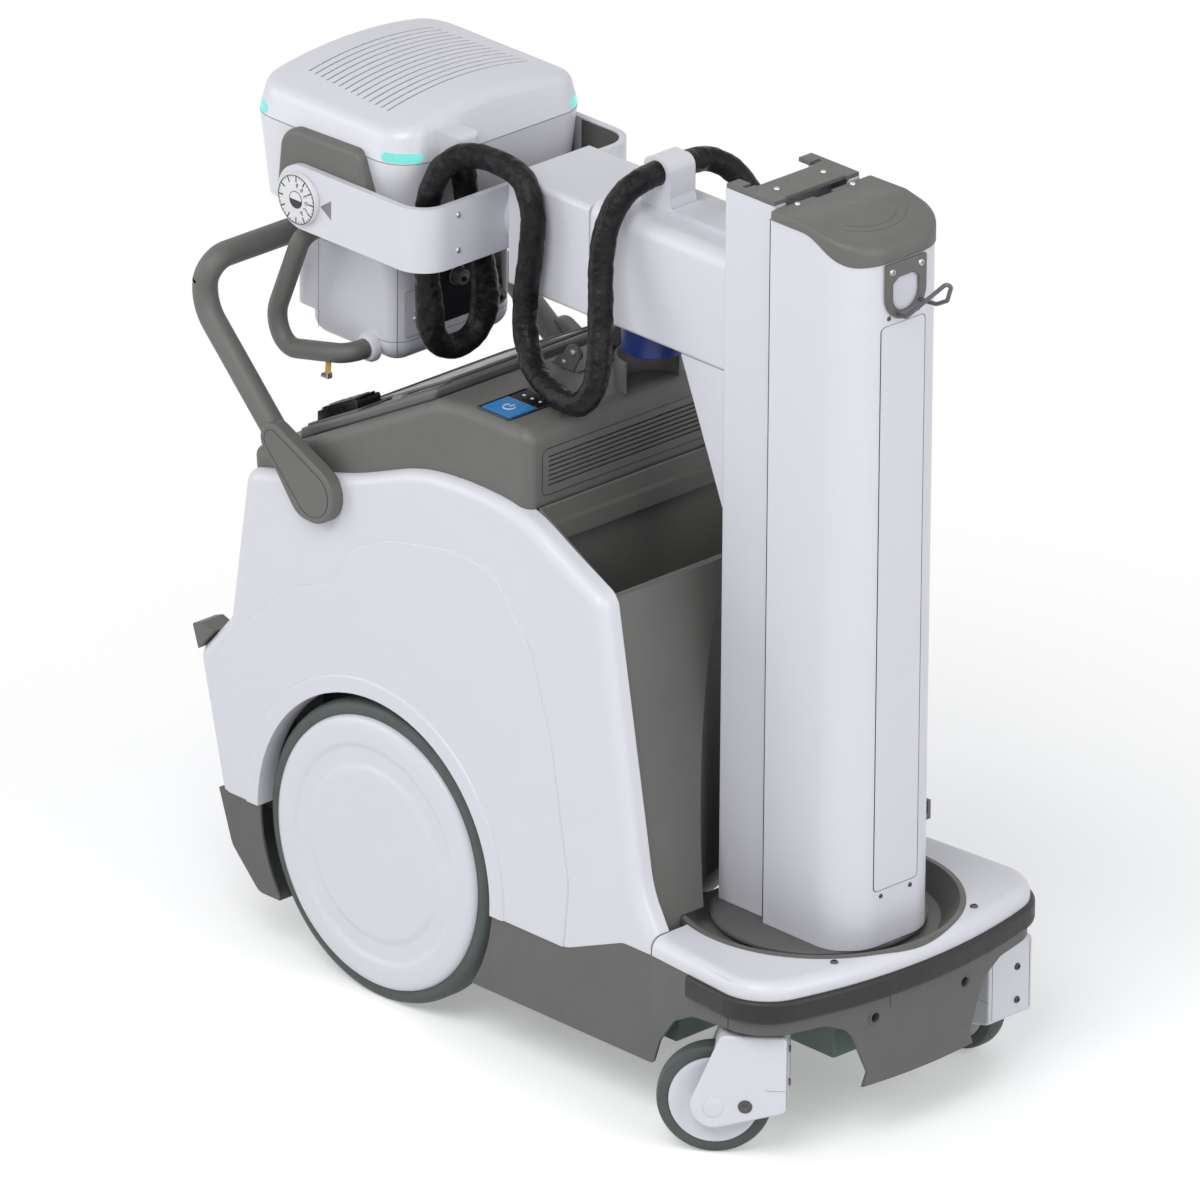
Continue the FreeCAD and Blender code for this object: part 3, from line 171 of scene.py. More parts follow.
def glow_material(name, colour, strength):
    """Lit surface: its own colour is dark, its emission is the colour given."""
    dim, lit = [0.2 * c for c in colour], (*colour, 1)
    return surface(name, dim, 0.3, tint=0.05, bump=0.02, Emission_Color=lit, Emission_Strength=strength)


# A finish without a name of its own is worn by CAD nodes only
paint = {"tint": 0.006, "patch": 1.4, "bump": 0.02, "edge": 0.0015}
white = surface("body_white", (0.685, 0.685, 0.735), 0.34, **paint, Coat_Weight=0.15)
grey = surface("grey_plastic", (0.125, 0.125, 0.118), 0.5, tint=0.05, grain=1400, bump=0.25, edge=0.002)
skirt = surface("skirt_grey", (0.105, 0.105, 0.104), 0.55, tint=0.05, grain=1300, bump=0.25, edge=0.002)
rubber = surface("bumper_black", (0.012, 0.012, 0.013), 0.5, patch=12, grain=700, bump=0.3)
tyre = surface(
    "tyre_green", (0.06, 0.075, 0.07), 0.55, tint=0.12, patch=14, grain=600, bump=0.25, edge=0.002
)
steel = surface(
    "frame_steel", (0.125, 0.185, 0.16), 0.45, tint=0.08, patch=9, grain=800, bump=0.3, edge=0.001
)
painted = surface("column_white", (0.675, 0.675, 0.725), 0.32, tint=0.006, patch=1.2, bump=0.02, edge=0.001)
surface("arm_white", (0.675, 0.675, 0.725), 0.34, tint=0.006, patch=1.4, bump=0.03, edge=0.0012)
wire = surface("wire_steel", (0.13, 0.13, 0.135), 0.38, tint=0.08, patch=30, Metallic=0.6)
alloy = surface(
    "core_alloy", (0.56, 0.57, 0.59), 0.35, tint=0.05, patch=12, bump=0.15, edge=0.001, Metallic=1.0
)
sleeve = sleeve_material()
glass = surface("display_glass", (0.012, 0.013, 0.016), 0.08, bump=0.0, Coat_Weight=1.0)
surface("button_blue", (0.03, 0.215, 0.52), 0.28, tint=0.06, patch=20, bump=0.05, edge=0.002)
panel_black = surface(
    "panel_black", (0.008, 0.008, 0.009), 0.22, tint=0.2, patch=20, bump=0.03, edge=0.001
)
surface("puck_blue", (0.012, 0.03, 0.18), 0.35, tint=0.08, patch=12, bump=0.08, edge=0.0015)
surface("battery_case", (0.04, 0.04, 0.04), 0.5, bump=0.2, edge=0.002)
surface(
    "generator_case", (0.55, 0.56, 0.57), 0.4, tint=0.06, patch=10, bump=0.2, edge=0.001, Metallic=0.8
)
head_paint = surface("head_alloy", (0.74, 0.74, 0.79), 0.32, **paint, Coat_Weight=0.1)
dial_white = surface("dial_white", (0.72, 0.72, 0.73), 0.3, tint=0.03, bump=0.04, edge=0.001)
surface("insert_glass", (0.6, 0.65, 0.65), 0.1, tint=0.03, bump=0.0, Transmission_Weight=0.6)
ink = surface("print_black", (0.02, 0.02, 0.022), 0.4, bump=0.02)
grey_ink = surface("print_grey", (0.19, 0.19, 0.185), 0.45, tint=0.05)
zinc = surface("screw_zinc", (0.55, 0.55, 0.56), 0.3, patch=200, Metallic=0.9)
screw_dark = surface("screw_dark", (0.09, 0.09, 0.09), 0.4, patch=200, Metallic=0.5)
tab_yellow = surface("tab_yellow", (0.62, 0.36, 0.03), 0.4, tint=0.08, patch=60)
# Near-black finish of the painted shade in the vent slots
vent_dark = surface("vent_dark", (0.01, 0.01, 0.012), 0.6)
cyan_light = glow_material("cyan_light", (0.19, 0.74, 0.68), 0.85)
screen_light = glow_material("screen_light", (0.02, 0.035, 0.06), 0.25)


def dress_nodes():
    """Each CAD node gets the finish of its own slot in the record."""
    for part in frame["record"]["subparts"]:
        materials = nodes[part["node"]].data.materials
        materials.clear()
        materials.append(looks[part["material_slot"]])


dress_nodes()


# Pieces
def piece(name, data, body, finish):
    """Object in the row frame that rides on a body, with its finish."""
    made = add_object(name, data)
    data.materials.append(finish)
    if body:
        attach(made, body)
    return made


def solid(name, points, faces, body, finish, sharp=40, join=False):
    """Piece of points and faces, smooth up to an angle between them; a sharp of 0 leaves it flat."""
    data = bpy.data.meshes.new(name)
    data.from_pydata([tuple(p) for p in points], [], faces)
    work = bmesh.new()
    work.from_mesh(data)
    if join:
        bmesh.ops.remove_doubles(work, verts=work.verts, dist=1e-6)
    bmesh.ops.recalc_face_normals(work, faces=work.faces)
    work.to_mesh(data)
    work.free()
    if sharp:
        data.shade_smooth()
        data.set_sharp_from_angle(angle=radians(sharp))
    return piece(name, data, body, finish)


def baked(name, data):
    """Mesh of a curve or a text."""
    made = add_object(name, data)
    mesh = bpy.data.meshes.new_from_object(made.evaluated_get(bpy.context.evaluated_depsgraph_get()))
    bpy.data.objects.remove(made)
    return mesh


def soften(made, width):
    """Bevel on the sharp edges."""
    made.modifiers.new("bevel", "BEVEL")
    bevel = made.modifiers["bevel"]
    bevel.width = width
    bevel.segments = 3
    bevel.limit_method = "ANGLE"
    bevel.harden_normals = True


def rounded(corners, steps=8):
    """Closed outline of (a, b) or (a, b, r) corners with the corners rounded."""
    points = []
    count = len(corners)
    for i, corner in enumerate(corners):
        here = Vector(corner[:2])
        radius = corner[2] if len(corner) > 2 else 0.0
        if not radius:
            points.append(here)
            continue
        back = (Vector(corners[i - 1][:2]) - here).normalized()
        on = (Vector(corners[(i + 1) % count][:2]) - here).normalized()
        half = back.angle(on) / 2
        centre = here + (back + on).normalized() * (radius / sin(half))
        start = here + back * (radius / tan(half)) - centre
        end = here + on * (radius / tan(half)) - centre
        sweep = start.angle_signed(end)
        for k in range(steps + 1):
            points.append(centre + Matrix.Rotation(-sweep * k / steps, 2) @ start)
    return points


def rectangle(a0, a1, b0, b1, radius=0.0):
    """Corners of a rectangle for rounded()."""
    return [(a0, b0, radius), (a1, b0, radius), (a1, b1, radius), (a0, b1, radius)]


def arc(a, b, radius, first, last, steps):
    """Points on an arc round (a, b), its ends in degrees."""
    turns = [radians(first + (last - first) * k / steps) for k in range(steps + 1)]
    return [(a + radius * cos(t), b + radius * sin(t)) for t in turns]


def place(plane, a, b, h):
    """Point from two places in a plane and its height over it; "slope" is the console's."""
    if plane == "slope":
        h += slope_foot[1] + slope_rise * (a - slope_foot[0])
    return Vector({"xz": (a, h, b), "yz": (h, a, b)}.get(plane, (a, b, h)))


def loft(name, rings, body, finish, closed=False, sharp=40):
    """Skin over rings of equal length, joined into a loop or capped at both ends."""
    n, count = len(rings[0]), len(rings)
    faces = []
    for i in range(count if closed else count - 1):
        after = (i + 1) % count * n
        for k in range(n):
            on = (k + 1) % n
            faces.append((i * n + k, i * n + on, after + on, after + k))
    if not closed:
        faces += [tuple(range(n)), tuple(range((count - 1) * n, count * n))]
    return solid(name, [p for ring in rings for p in ring], faces, body, finish, sharp)


def plate(name, plane, corners, h0, h1, body, finish, bevel=0.0):
    """Flat plate of a rounded outline, from h0 to h1 over its plane."""
    ring = rounded(corners)
    rings = [[place(plane, p.x, p.y, h) for p in ring] for h in (h0, h1)]
    made = loft(name, rings, body, finish, sharp=0)
    if bevel:
        soften(made, bevel)


def lathe(name, profile, centre, axis, body, finish, steps=96, sink=None):
    """Turned piece from (radius, height) pairs; sink(direction, radius) lowers the height locally."""
    turn = Vector(axis).to_track_quat("Z", "Y")
    points, faces = [], []
    for k in range(steps):
        angle = 2 * pi * k / steps
        for radius, height in profile:
            drop = sink(turn @ Vector((cos(angle), sin(angle), 0)), radius) if sink else 0.0
            local = Vector((radius * cos(angle), radius * sin(angle), height - drop))
            points.append(Vector(centre) + turn @ local)
    n = len(profile)
    for k in range(steps):
        for i in range(n - 1):
            a, b = k * n + i, ((k + 1) % steps) * n + i
            faces.append((a, b, b + 1, a + 1))
    return solid(name, points, faces, body, finish, join=True)


# Hoses
def line_of(name, points):
    """Points along the NURBS line of its control points."""
    data = bpy.data.curves.new(name, "CURVE")
    data.dimensions = "3D"
    data.resolution_u = 24
    spline = data.splines.new("NURBS")
    spline.points.add(len(points) - 1)
    for point, co in zip(spline.points, points):
        point.co = (*co, 1)
    spline.order_u = 3
    spline.use_endpoint_u = True
    return [v.co.copy() for v in baked(name + "_route", data).vertices]


def spaced(line, step):
    """The same line with its points a step apart."""
    out, carry = [line[0]], 0.0
    for a, b in zip(line, line[1:]):
        run = (b - a).length
        while carry + run >= step and run > 0:
            a = a.lerp(b, (step - carry) / run)
            out.append(a)
            run = (b - a).length
            carry = 0.0
        carry += run
    out.append(line[-1])
    return out


hose_radius = 0.0178
gather_z, gather_reach, gather_gain = 0.992, 0.055, 0.17
crease_waves = ((48.0, 0.07), (110.0, 0.05))


def gathered(centre):
    """How much wider the sleeve is where it bunches up beside the collimator."""
    if centre.x > -0.2:
        return 1.0
    near = max(0.0, 1 - abs(centre.z - gather_z) / gather_reach)
    return 1 + gather_gain * near * near * (3 - 2 * near)


def directions(rows, closed=False):
    """Each point of a line with two directions across it, carried along without twist."""
    count = len(rows)
    side = (rows[1] - rows[0]).orthogonal().normalized()
    for i, centre in enumerate(rows):
        before = rows[i - 1] if i or closed else centre
        after = rows[(i + 1) % count] if i < count - 1 or closed else centre
        ahead = (after - before).normalized()
        side = (side - ahead * side.dot(ahead)).normalized()
        yield centre, side, ahead.cross(side)


def sleeve_tube(name, line, body, sides=28):
    """Soft sleeve round a line, creased across its run."""
    rings = []
    for centre, side, up in directions(spaced(line, 0.003)):
        ring = []
        for k in range(sides):
            angle = 2 * pi * k / sides
            out = (side * cos(angle) + up * sin(angle)) * hose_radius
            crease = sum(noise.noise((centre + out) * scale) * depth for scale, depth in crease_waves)
            ring.append(centre + out * gathered(centre) * (0.98 + crease))
        rings.append(ring)
    return loft(name, rings, body, sleeve)


loop_route = [
    (0.065, -0.01, 1.263), (0.065, -0.048, 1.263), (0.058, -0.084, 1.246), (0.05, -0.107, 1.2),
    (0.052, -0.117, 1.146), (0.066, -0.129, 1.086), (0.082, -0.146, 1.03), (0.088, -0.16, 0.99),
    (0.07, -0.171, 0.961), (0.029, -0.165, 0.9585), (-0.014, -0.151, 0.9585), (-0.06, -0.131, 0.961),
    (-0.097, -0.113, 0.988), (-0.109, -0.105, 1.03), (-0.104, -0.103, 1.09), (-0.094, -0.103, 1.15),
    (-0.1, -0.101, 1.196), (-0.132, -0.094, 1.226), (-0.172, -0.101, 1.23),
]
head_route = [
    (-0.172, -0.101, 1.23), (-0.21, -0.1075, 1.234), (-0.243, -0.134, 1.214), (-0.252, -0.152, 1.168),
    (-0.253, -0.155, 1.114), (-0.253, -0.153, 1.058), (-0.252, -0.148, 1.01), (-0.251, -0.147, 0.962),
    (-0.25, -0.119, 0.933), (-0.248, -0.077, 0.933), (-0.247, -0.049, 0.962), (-0.246, -0.049, 1.012),
    (-0.247, -0.06, 1.082), (-0.252, -0.082, 1.15), (-0.252, -0.088, 1.207),
]
back_route = [
    (0.065, 0.01, 1.263), (0.065, 0.046, 1.263), (0.07, 0.078, 1.258), (0.094, 0.101, 1.238),
    (0.116, 0.112, 1.202), (0.134, 0.115, 1.164), (0.14, 0.106, 1.132), (0.14, 0.083, 1.132),
]


def add_hose(name, points, body, node, spread_over=None):
    """Hose in place of its CAD node, on one body, or on no body when spread_over is given."""
    line = line_of(name, points)
    hose = sleeve_tube(name, line, None if spread_over else body)
    if spread_over:
        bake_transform(hose)
    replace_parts(hose, node)
    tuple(points[0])


loop_bend = ("boom", "arm", (0.03, -0.15, 0.96), (-0.1, -0.15, 0.96))
head_bend = ("yoke", "tube_head", (-0.25, -0.14, 0.95), (-0.274, -0.108, 0.95))
add_hose("sleeve_loop", loop_route, "boom", "hose_loop", loop_bend)
add_hose("sleeve_head", head_route, "tube_head", "hose_head", head_bend)
add_hose("sleeve_back", back_route, "boom", "hose_back")


# Small pieces
def screw(name, spot, axis, body, finish, radius):
    """Low round screw head with a round recess."""
    shares = ((0, 0.1), (0.4, 0.1), (0.48, 0.5), (0.8, 0.45), (1, 0.15), (1, -0.5))
    profile = [(r * radius, h * radius) for r, h in shares]
    lathe(name, profile, spot, axis, body, finish, steps=20)


def screws(name, spots, axis, body, finish, radius):
    """Numbered screws of one kind."""
    for k, spot in enumerate(spots):
        screw("%s_%d" % (name, k), spot, axis, body, finish, radius)


def strand(name, points, radius, body, finish, closed=False, sides=8):
    """Thin round line through points, for seams, printed outlines and wire."""
    turns = [2 * pi * k / sides for k in range(sides)]
    rings = []
    for centre, side, up in directions([Vector(p) for p in points], closed):
        rings.append([centre + radius * (side * cos(a) + up * sin(a)) for a in turns])
    loft(name, rings, body, finish, closed)


def ring_line(name, x, y, z, radius, steps, thick, body, finish):
    """Thin round ring about an axis along Y."""
    points = [(a, y, b) for a, b in arc(x, z, radius, 0, 360, steps)[:-1]]
    strand(name, points, thick, body, finish, closed=True, sides=6)


def outline_on(name, plane, corners, h, radius, body, finish, sides=6):
    """Seam that follows a rounded outline on a flat face."""
    ring = [place(plane, p.x, p.y, h) for p in rounded(corners)]
    strand(name, ring, radius, body, finish, closed=True, sides=sides)


def bars(name, frames, body, finish):
    """Small blocks from (centre, half a, half b, half c), as one mesh."""
    points, faces = [], []
    for centre, a, b, c in frames:
        start = len(points)
        for i in (-1, 1):
            for j in (-1, 1):
                for k in (-1, 1):
                    points.append(Vector(centre) + i * Vector(a) + j * Vector(b) + k * Vector(c))
        for face in ((0, 1, 3, 2), (4, 6, 7, 5), (0, 4, 5, 1), (2, 3, 7, 6), (0, 2, 6, 4), (1, 5, 7, 3)):
            faces.append(tuple(start + v for v in face))
    solid(name, points, faces, body, finish, sharp=0)


def spokes(centre, plane, count, radius, out_half, deep_half, wide_half):
    """Frames for bars() in a ring round a centre."""
    frames, axis = [], place(plane, 0, 0, 1)
    for k in range(count):
        out = place(plane, cos(2 * pi * k / count), sin(2 * pi * k / count), 0)
        spot = Vector(centre) + out * radius
        frames.append((spot, out * out_half, axis * deep_half, out.cross(axis) * wide_half))
    return frames


def printed(name, signs, body, finish):
    """Raised print from (text, size, centre, right, up) signs, as one mesh."""
    work = bmesh.new()
    for text, size, centre, right, up in signs:
        data = bpy.data.curves.new(name, "FONT")
        data.body = text
        data.size = size
        data.extrude = 0.0002
        data.align_x = data.align_y = "CENTER"
        mesh = baked(name, data)
        across, along = Vector(right), Vector(up)
        turn = Matrix((across, along, across.cross(along))).transposed().to_4x4()
        mesh.transform(Matrix.Translation(Vector(centre)) @ turn)
        work.from_mesh(mesh)
    data = bpy.data.meshes.new(name)
    work.to_mesh(data)
    work.free()
    piece(name, data, body, finish)


both_sides = ((-1, "right"), (1, "left"))


def pair(make):
    """The same pieces on both sides."""
    for side, tag in both_sides:
        make(side, tag)


# Rear wheels
wheel_centre = (-0.236, 0, 0.22)
ring_inner, ring_outer, ring_depth = 0.1275, 0.1585, 0.0036
gap_low, gap_high = -23.0, 10.0


def step_up(value, edge, width):
    """From 0 to 1 in a soft step at an edge."""
    return 1 / (1 + exp((edge - value) / width))


def channel(direction, radius):
    """Shallow ring pressed into the wheel disc, broken by a gap on its front side."""
    angle = degrees(atan2(direction.z, direction.x))
    away = max(angle - gap_high, gap_low - angle)
    inner, outer = step_up(radius, ring_inner, 0.0019), step_up(-radius, -ring_outer, 0.0015)
    return ring_depth * inner * outer * step_up(away, 0.0, 1.6)


def wheel_disc(side, tag):
    """Smooth wheel cover with its pressed ring, and the axle end behind it."""
    profile = [(0.0001, 0.2655)]
    profile += [(0.04 * k, 0.2656 + 0.0002 * k) for k in (1, 2)]
    profile += [(0.112 + 0.0025 * k, 0.2665) for k in range(23)]
    profile += [(0.175, 0.2664), (0.184, 0.2658), (0.191, 0.2646), (0.196, 0.2625)]
    profile += [(0.1985, 0.2595), (0.1997, 0.256)]
    profile += [(0.1997, 0.216), (0.186, 0.216), (0.186, 0.237)]
    profile += [(0.06, 0.237), (0.06, 0.212), (0.0001, 0.212)]
    body = "rear_wheel_" + tag
    disc = lathe("disc_" + tag, profile, wheel_centre, (0, side, 0), body, white, 240, channel)
    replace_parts(disc, "rear_wheel_" + tag)
    axle = [(0.0001, 0.11), (0.015, 0.11), (0.015, 0.214), (0.0001, 0.214)]
    lathe("axle_" + tag, axle, wheel_centre, (0, side, 0), body, alloy, 32)


def wheel_tyre(side, tag):
    """Round tread with low cross ribs."""
    body = "rear_wheel_" + tag
    profile = [(0.1995, 0.212), (0.213, 0.2125), (0.2175, 0.216), (0.2198, 0.222), (0.22, 0.2345)]
    profile += [(0.2198, 0.247), (0.2175, 0.2535), (0.2125, 0.2568), (0.206, 0.258), (0.2, 0.2565)]
    made = lathe("tread_" + tag, profile, wheel_centre, (0, side, 0), body, tyre, 160)
    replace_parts(made, "rear_tyre_" + tag)
    middle = Vector(wheel_centre) + Vector((0, side * 0.2345, 0))
    ribs = spokes(middle, "xz", 96, 0.2193, 0.0006, 0.01, 0.0028)
    bars("tread_blocks_" + tag, ribs, body, tyre)


pair(wheel_disc)
pair(wheel_tyre)


# Casters
caster_x, caster_y, caster_turn = 0.466, 0.225, radians(42)
caster_trail, caster_axle_z = 0.045, 0.08
caster_cheek, caster_front = 0.042, 0.0552


def caster_frame(side):
    """Swivel axis foot, forward direction and sideways direction of a caster."""
    turn = caster_turn if side < 0 else 0.0
    ahead = Vector((cos(turn), sin(turn), 0))
    across = Vector((-sin(turn), cos(turn), 0))
    return Vector((caster_x, side * caster_y, 0)), ahead, across


def caster_trim(side, tag):
    """Caps, screws and folded edges of the caster housing."""
    foot, ahead, across = caster_frame(side)
    body = "caster_" + tag

    def at(forward, sideways, height):
        return foot + ahead * forward + across * sideways + Vector((0, 0, height))

    cap = [(0.0001, 0.0012), (0.0125, 0.0012), (0.0138, 0.0009)]
    cap += [(0.0145, -0.0004), (0.0155, -0.0006), (0.0155, -0.002)]
    flat = [(0.0001, 0.0004), (0.0032, 0.0004), (0.0042, 0.0014), (0.0095, 0.001), (0.0105, -0.001)]
    for k, face in enumerate((-1, 1)):
        out, w = across * face, caster_cheek * face
        lathe("axle_cap_%s_%d" % (tag, k), cap, at(-caster_trail, w, caster_axle_z), out, body, white, 48)
        lathe("side_screw_%s_%d" % (tag, k), flat, at(-0.001, w, 0.083), out, body, screw_dark, 32)
        line = [at(0.026, 0.0421 * face, 0.108), at(0.054, 0.0421 * face, 0.108)]
        strand("skirt_line_%s_%d" % (tag, k), line, 0.0003, body, grey_ink)
    for k, height in enumerate((0.098, 0.148)):
        spot = at(caster_front, 0.012, height)
        screw("face_screw_%s_%d" % (tag, k), spot, ahead, body, screw_dark, 0.0052)
    for k, w in enumerate((-0.036, 0.036)):
        line = [at(caster_front, w, 0.08), at(caster_front, w, 0.182)]
        strand("fold_%s_%d" % (tag, k), line, 0.0004, body, grey_ink)


def caster_wheel(side, tag):
    """Smooth hub disc and tread of a caster, turned about its axle."""
    foot, ahead, across = caster_frame(side)
    centre = foot - ahead * caster_trail + Vector((0, 0, caster_axle_z))
    body = "caster_wheel_" + tag
    half = [(0.0082, 0.0345), (0.02, 0.0345), (0.0204, 0.015), (0.03, 0.0145), (0.052, 0.016)]
    half += [(0.06, 0.0178), (0.0622, 0.0172), (0.0629, 0.015)]
    profile = half + [(r, -h) for r, h in reversed(half)] + [half[0]]
    hub = lathe("hub_" + tag, profile, centre, across, body, white, 96)
    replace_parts(hub, "caster_hub_" + tag)
    tread = [(0.0631, 0.0145), (0.066, 0.0158), (0.074, 0.016), (0.078, 0.0138), (0.0796, 0.009)]
    tread += [(0.08, 0.003)]
    profile = tread + [(r, -h) for r, h in reversed(tread)] + [tread[0]]
    made = lathe("caster_tread_" + tag, profile, centre, across, body, tyre, 96)
    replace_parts(made, "caster_tyre_" + tag)


pair(caster_trim)
pair(caster_wheel)


# Tube head
trunnion_x, trunnion_z = -0.447, 1.122
head_rear, head_front, head_half, head_corner = -0.592, -0.271, 0.181, 0.056
head_seam_z = 1.207
crown_top, crown_radius = 1.273, 0.62
dial_y, dial_radius = 0.2166, 0.0352
yoke_face_y, yoke_front_x = 0.207, -0.2049
# Place of the grey sheet of painted shade inside the yoke
shade_sheet_x, shade_sheet_y, shade_sheet_corner = -0.2152, 0.1968, 0.038
vent_count, vent_first_x, vent_step = 14, -0.5267, 0.0133


def light_strip(name, centre, first, last):
    """Lit strip round a corner of the tube head, proud by under a millimetre."""
    middle, half, steps, lean = 1.2152, 0.007, 28, 0.227
    section = ((-1, -0.001), (-0.9, 0.0006), (-0.6, 0.0009), (0.6, 0.0009), (0.9, 0.0006), (1, -0.001))
    rings = []
    for i in range(steps + 1):
        t = i / steps
        angle = radians(first + (last - first) * t)
        near = min(1.0, min(t, 1 - t) * steps / 3.5)
        tall = half * sqrt(1 - (1 - near) ** 2 * 0.96)
        ring = []
        for k, out in section:
            z = middle + tall * k
            reach = head_corner + out - lean * (z - head_seam_z)
            ring.append((centre[0] + reach * cos(angle), centre[1] + reach * sin(angle), z))
        rings.append(ring)
    loft(name, rings, "tube_head", cyan_light)


def head_lights():
    """Four corner lights, and the seam below the cover."""
    front, rear, side = head_front - head_corner, head_rear + head_corner, head_half - head_corner
    light_strip("light_front_right", (front, -side), -80, -15)
    light_strip("light_rear_right", (rear, -side), 195, 260)
    light_strip("light_front_left", (front, side), 15, 80)
    light_strip("light_rear_left", (rear, side), 100, 165)
    corners = rectangle(head_rear, head_front, -head_half, head_half, head_corner)
    outline_on("head_seam", "xy", corners, head_seam_z - 0.0001, 0.0006, "tube_head", grey_ink)


def dial(side, tag):
    """Angle dial with its scale, numbers and round level."""
    body, y = "tube_head", side * dial_y
    middle, axis = (trunnion_x, y, trunnion_z), (0, side, 0)
    face = [(0.0001, 0.0), (0.0335, 0.0), (0.0352, -0.0003), (0.0365, -0.0015), (0.037, -0.003)]
    lathe("dial_face_" + tag, face, middle, axis, body, dial_white, 72)
    foot = (trunnion_x, side * (dial_y + 0.0001), trunnion_z)
    long = spokes(foot, "xz", 12, 0.0303, 0.0042, 0.0003, 0.0009)
    short = spokes(foot, "xz", 36, 0.0333, 0.0012, 0.0003, 0.0003)
    ticks = long + [tick for k, tick in enumerate(short) if k % 3]
    bars("dial_ticks_" + tag, ticks, body, ink)
    ring_line("dial_rim_" + tag, *middle, dial_radius, 72, 0.0006, body, ink)
    signs = []
    for k, text in enumerate(("6", "3", "0", "3", "6", "9")):
        angle = radians(28 * (k - 2))
        out = Vector((cos(angle), 0, sin(angle)))
        signs.append((text, 0.0105, Vector(foot) + out * 0.0205, out.cross(Vector((0, -side, 0))), out))
    printed("dial_numbers_" + tag, signs, body, ink)
    bubble = [(0.0001, 0.001), (0.0112, 0.001), (0.0122, 0.0007), (0.0126, 0.0)]
    lathe("level_" + tag, bubble, middle, axis, body, dial_white, 48)
    half = arc(trunnion_x, trunnion_z, 0.0116, 180, 360, 24)
    plate("level_half_" + tag, "xz", half, y + side * 0.0008, y + side * 0.0014, body, ink)
    rim = (trunnion_x, y + side * 0.0008, trunnion_z)
    ring_line("level_rim_" + tag, *rim, 0.0121, 48, 0.0005, body, ink)


def yoke_trim(side, tag):
    """Pointer beside the dial and the two screws of the yoke's front."""
    pointer = [(-0.408, 1.121), (-0.387, 1.107), (-0.387, 1.135)]
    near, far = side * (yoke_face_y - 0.0004), side * (yoke_face_y + 0.0004)
    plate("pointer_" + tag, "xz", pointer, near, far, "yoke", grey_ink)
    spots = [(yoke_front_x, side * 0.139, z) for z in (1.151, 1.099)]
    screws("yoke_screw_" + tag, spots, (1, 0, 0), "yoke", zinc, 0.0045)


def vent_lines():
    """Painted shade: near-black lines at the bottoms of the vent slots, curved over the crown."""
    axis_z, radius = crown_top - crown_radius, crown_radius - 0.0024
    for k in range(vent_count):
        share = k / (vent_count - 1)
        near, far = -0.116 - 0.015 * share, 0.12 + 0.022 * share
        line = []
        for step in range(17):
            angle = asin((near + (far - near) * step / 16) / radius)
            x = vent_first_x + vent_step * k
            line.append((x, radius * sin(angle), axis_z + radius * cos(angle)))
        strand("vent_%02d" % k, line, 0.0016, "tube_head", vent_dark, sides=6)


def yoke_painted_shade():
    """Painted shade: grey sheet on the inner face of the yoke's front and corners, where that face lies in
    shade.
    """
    low, high, thick = 1.077, 1.167, 0.0004
    rear = -0.312
    corners = [(rear, -shade_sheet_y), (shade_sheet_x, -shade_sheet_y, shade_sheet_corner)]
    corners += [(shade_sheet_x, shade_sheet_y, shade_sheet_corner), (rear, shade_sheet_y)]
    rings = []
    for p in rounded(corners):
        x = p.x - (thick if p.x > shade_sheet_x - 0.0003 else 0)
        y = p.y + (thick if p.y < 0 else -thick)
        rings.append([(p.x, p.y, low), (x, y, low), (x, y, high), (p.x, p.y, high)])
    # Grey plastic here is painted shade, not a part of its own
    loft("yoke_painted_shade", rings, "yoke", grey)


head_lights()
vent_lines()
yoke_painted_shade()
pair(dial)
pair(yoke_trim)


# Collimator
case_front, case_half, case_corner = -0.354, 0.115, 0.032
case_low, case_top, case_seam_z = 0.884, 1.084, 0.903
panel_x = -0.3529
knobs = ((0.07, 0.93), (0.0, 0.978))
handle_ends = ((-0.496, 1.04), (-0.404, 0.888))
tape_x, handle_y = -0.445, -0.158


def case_seams():
    """Parting lines of the collimator's case."""
    body = "collimator"
    for tag, x, y, thick in (("corner", -0.3622, -0.1048, 0.0006), ("rear", -0.51, -case_half, 0.0004)):
        strand("case_seam_" + tag, [(x, y, case_low), (x, y, case_top)], thick, body, grey_ink)
    rear = -0.393
    corners = [(rear, -case_half), (case_front, -case_half, case_corner)]
    corners += [(case_front, case_half, case_corner), (rear, case_half)]
    low = [(p.x, p.y, case_seam_z) for p in rounded(corners)]
    strand("case_seam_low", low, 0.0005, body, grey_ink, sides=6)


def collimator_trim():
    """Front hatch, handle collars and exit window."""
    body = "collimator"
    case_seams()
    hatch = rectangle(-0.098, -0.054, 0.91, 0.978, 0.004)
    plate("front_hatch", "yz", hatch, case_front - 0.0005, case_front + 0.0008, body, head_paint, 0.0004)
    outline_on("front_hatch_seam", "yz", hatch, case_front + 0.0002, 0.0005, body, grey_ink)
    screw("front_hatch_screw", (case_front + 0.0009, -0.079, 0.935), (1, 0, 0), body, zinc, 0.0045)
    collar = [(0.0135, 0.0), (0.0215, 0.0), (0.0212, 0.006), (0.0185, 0.0105), (0.014, 0.012)]
    for k, (x, z) in enumerate(handle_ends):
        lathe("handle_collar_%d" % k, collar, (x, -case_half, z), (0, -1, 0), body, white, 48)
    window = rectangle(-0.5, -0.391, -0.07, 0.07, 0.006)
    plate("exit_window", "xy", window, 0.8712, 0.8722, body, glass, 0.0004)


